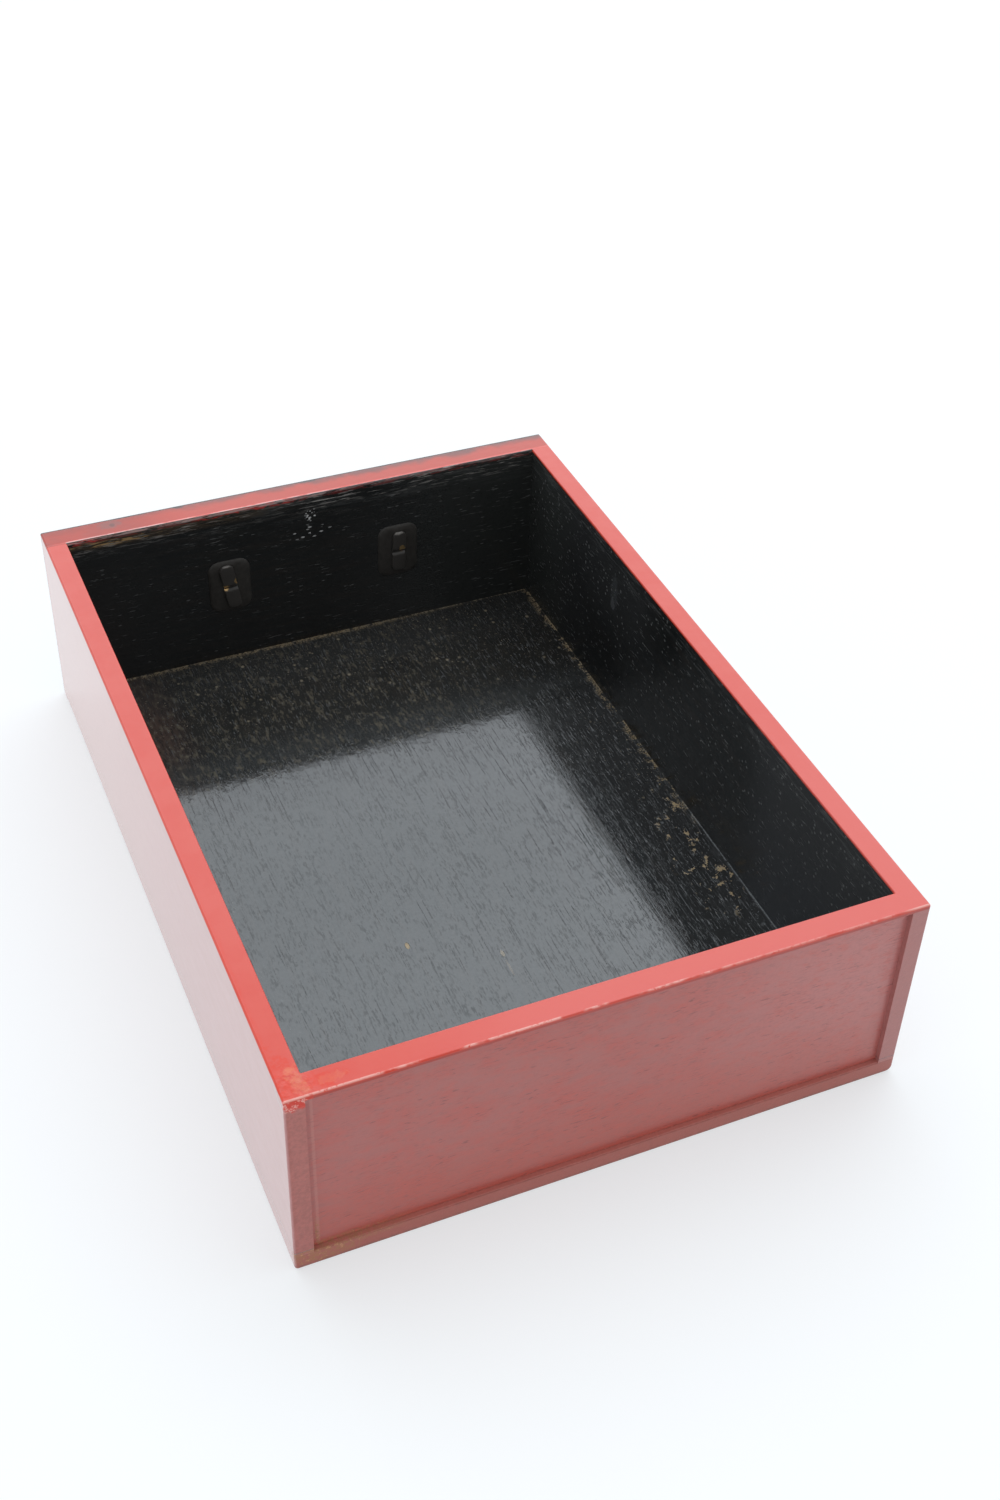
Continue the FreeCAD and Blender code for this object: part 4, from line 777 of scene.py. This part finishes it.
def pin_mesh(name, node, upper_leg, lower_leg, lean_degrees):
    """A strip bent double round the handle's end: leg, shank, eye, shank, leg. Lengths in millimetres."""
    low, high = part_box(node)
    centre_x = (low.x + high.x) / 2 / MM
    eye_y = HINGE.y / MM
    thick, gap, half_wide, corner = 0.9, 0.2, 2.2, 0.28
    plate_thick, bend, eye, tip_round = 0.8, 0.95, 1.82, 1.6
    bend_steps, eye_steps, throat_heading = 6, 10, 145
    dent, dent_size, dent_seed = 0.05, 1.3, 7
    rise = (gap + thick) / 2
    leg_y = INSIDE_FRONT + plate_thick + thick / 2
    throat = math.atan2(rise, math.sqrt(eye ** 2 - rise ** 2))

    def half(reach, way):
        """From the tip of a leg to the front of the eye, as (y, z, heading, half width, lean share)."""
        found = []
        for back in (0.04, 0.18, 0.4, 0.7, 1.1, tip_round):
            rounded = math.sqrt(tip_round ** 2 - (tip_round - back) ** 2)
            found.append((leg_y, reach - back, -90, half_wide - tip_round + rounded, 1.0))
        found += [(leg_y, height, -90, half_wide, 1.0) for height in (5.4, 4.4, 3.4, 2.6, 2.0)
                  if height < reach - tip_round - 0.2]
        for step in range(bend_steps + 1):
            bent = 90 * step / bend_steps
            turn = math.radians(bent)
            found.append((leg_y - bend + bend * math.cos(turn), rise + bend - bend * math.sin(turn),
                          -90 - bent, half_wide, 1 - step / bend_steps))
        found += [(y, rise, 180, half_wide, 0.0) for y in (FRONT_FACE + 4.0, FRONT_FACE, eye_y + eye + 0.5)]
        for step in range(eye_steps + 1):
            turn = throat + (math.pi - throat) * step / eye_steps
            heading = math.degrees(turn) + 90 if step else throat_heading
            found.append((eye_y + eye * math.cos(turn), eye * math.sin(turn), heading, half_wide, 0.0))
        return [(y, way * z, way * heading, wide, lean) for y, z, heading, wide, lean in found]

    path = half(upper_leg, 1)
    lower_half = reversed(half(lower_leg, -1)[:-1])
    path += [(y, z, heading + 180, wide, lean) for y, z, heading, wide, lean in lower_half]
    loops = []

    # Without a seed noise_vector starts from the clock, and each run would have other dents
    noise.seed_set(dent_seed)
    for y, z, heading, wide, lean_share in path:
        lean = math.radians(lean_degrees) * lean_share
        up = Vector((math.sin(lean), 0, math.cos(lean)))
        across = Vector((math.cos(lean), 0, -math.sin(lean)))
        turn = math.radians(heading)
        normal = Vector((0, -math.sin(turn), 0)) + math.cos(turn) * up
        centre = Vector((centre_x, y, HINGE.z / MM)) + z * up
        loop = sweep_loop(centre, across, normal, rounded_points(wide, thick / 2, corner))
        if lean_share == 1.0:
            loop = [point + dent * noise.noise_vector(point / dent_size) for point in loop]
        loops.append([point * MM for point in loop])
    return skin_mesh(name, loops)


# Materials on the solids that keep their own shape
dress(["front_board"], Board("front", "x").finished())
dress(["side_board_left", "side_board_right"], Board("side", "y").finished())
dress(["back_board"], Board("back", "x").finished())
dress(["bottom_board"], Board("bottom", "y").finished())
dress([name for name in nodes if name.startswith("pegs_")], bamboo_material("bamboo"))

# Fittings, with the worn edges that the plain solids lack. Levels are insets and heights in millimetres.
brass = brass_material("brass_aged")
pin_brass = brass_material("brass_painted_inside", painted=True)
paint = paint_material("paint_black")
new_piece("handle_rod", handle_mesh(), brass, "drop_handle", "handle")
rosette_outline = circle_points(radius=6.6, sides=72)
rosette_levels = [(0.25, 0.0), (0.05, 0.12), (0.0, 0.25), (0.1, 0.38), (0.4, 0.50), (1.0, 0.72), (1.6, 0.94),
                  (2.0, 1.08), (2.4, 1.17), (3.0, 1.20), (5.0, 1.20)]
plate_outline = rounded_points(half_width=6.6, half_height=9.3, corner=3.6, steps=12)
plate_levels = [(0.0, 0.0), (0.03, 0.14), (0.15, 0.30), (0.4, 0.46), (0.8, 0.60), (1.3, 0.70), (2.0, 0.77),
                (2.8, 0.80), (3.8, 0.80), (5.6, 0.80)]

# How far each pin's upper and lower leg reach from the hinge's height, and their lean in degrees
pins = {"left": (7.1, 6.6, -2.0), "right": (8.1, 7.3, 9.0)}
for side, (upper_leg, lower_leg, lean) in pins.items():
    rosette = plate_mesh(f"rosette_plate_{side}", f"rosette_{side}", -1, rosette_outline, rosette_levels)
    new_piece(f"rosette_plate_{side}", rosette, brass, f"rosette_{side}", "drawer")
    pin = pin_mesh(f"pin_{side}", f"split_pin_{side}", upper_leg, lower_leg, lean)
    new_piece(f"pin_{side}", pin, pin_brass, f"split_pin_{side}", "drawer")
    plate = plate_mesh(f"plate_{side}", f"backing_plate_{side}", 1, plate_outline, plate_levels,
                       wobble_mm=0.10)
    new_piece(f"plate_{side}", plate, paint, f"backing_plate_{side}", "drawer")


def place_camera():
    """The photograph's own viewpoint, from behind the drawer and above it, fitted to the drawer's corners."""
    viewpoint = Vector((0.1456, 0.36211, 0.37328))
    yaw, pitch, roll = math.radians(-24.392), math.radians(40.306), math.radians(2.036)
    focal_length_pixels, photo_height_pixels, sensor_mm = 1893.6, 1500.0, 36.0
    ahead = Vector((math.sin(yaw) * math.cos(pitch), -math.cos(yaw) * math.cos(pitch), -math.sin(pitch)))
    level = ahead.cross(Vector((0, 0, 1))).normalized()
    upward = level.cross(ahead)
    across = math.cos(roll) * level + math.sin(roll) * upward
    above = math.cos(roll) * upward - math.sin(roll) * level
    camera = bpy.data.cameras.new("camera")
    camera.sensor_fit = "AUTO"
    camera.sensor_width = sensor_mm
    camera.lens = sensor_mm * focal_length_pixels / photo_height_pixels
    camera.clip_start = 0.01
    camera.clip_end = 50.0
    viewer = bpy.data.objects.new("camera", camera)
    turn = Matrix((across, above, -ahead)).transposed().to_4x4()
    viewer.matrix_world = Matrix.Translation(viewpoint) @ turn
    bpy.context.scene.collection.objects.link(viewer)
    bpy.context.scene.camera = viewer


def light_surround():
    """White all round, brightest high up past the drawer's front and dimmest high up past its back."""
    world = bpy.data.worlds.new("studio")
    bpy.context.scene.world = world
    world.use_nodes = True
    studio = NodeTree(world.node_tree)
    sky = studio.add("ShaderNodeTexCoord").outputs["Generated"]

    def turned_to(direction):
        """1 for what lies in the given direction, less the further it lies from there."""
        towards = {0: sky, 1: Vector(direction).normalized()}
        return studio.add("ShaderNodeVectorMath", towards, operation="DOT_PRODUCT").outputs["Value"]

    past_front = turned_to((-0.28, -0.62, 0.73))
    past_back = turned_to((0.10, 0.80, 0.55))
    glow = studio.rise(past_front, 0.62, 0.90, 1.05, 2.45)
    dim = studio.rise(past_back, 0.55, 0.95, 1.0, 0.50)
    tint = studio.mix(past_front, (0.985, 0.994, 1.0), (0.880, 0.945, 1.0))
    background = studio.add("ShaderNodeBackground", {"Color": tint, "Strength": studio.times(glow, dim)})
    studio.add("ShaderNodeOutputWorld", {"Surface": background.outputs[0]})


def lay_floor():
    """A pale floor that glows a little, so that it runs into the white round it."""
    half_width = 6.0
    build = bmesh.new()
    bmesh.ops.create_grid(build, x_segments=1, y_segments=1, size=half_width)
    mesh = bpy.data.meshes.new("floor")
    build.to_mesh(mesh)
    build.free()
    floor = bpy.data.objects.new("floor", mesh)
    bpy.context.scene.collection.objects.link(floor)
    material = bpy.data.materials.new("pale_floor")
    material.use_nodes = True
    look = {"Base Color": (0.37, 0.38, 0.385, 1.0), "Roughness": 0.9, "Specular IOR Level": 0.1,
            "Emission Color": (0.965, 0.985, 1.0, 1.0), "Emission Strength": 0.56}
    for socket, value in look.items():
        material.node_tree.nodes["Principled BSDF"].inputs[socket].default_value = value
    mesh.materials.append(material)


place_camera()
light_surround()
lay_floor()
view = bpy.context.scene.view_settings
view.view_transform = "Standard"
view.look = "None"
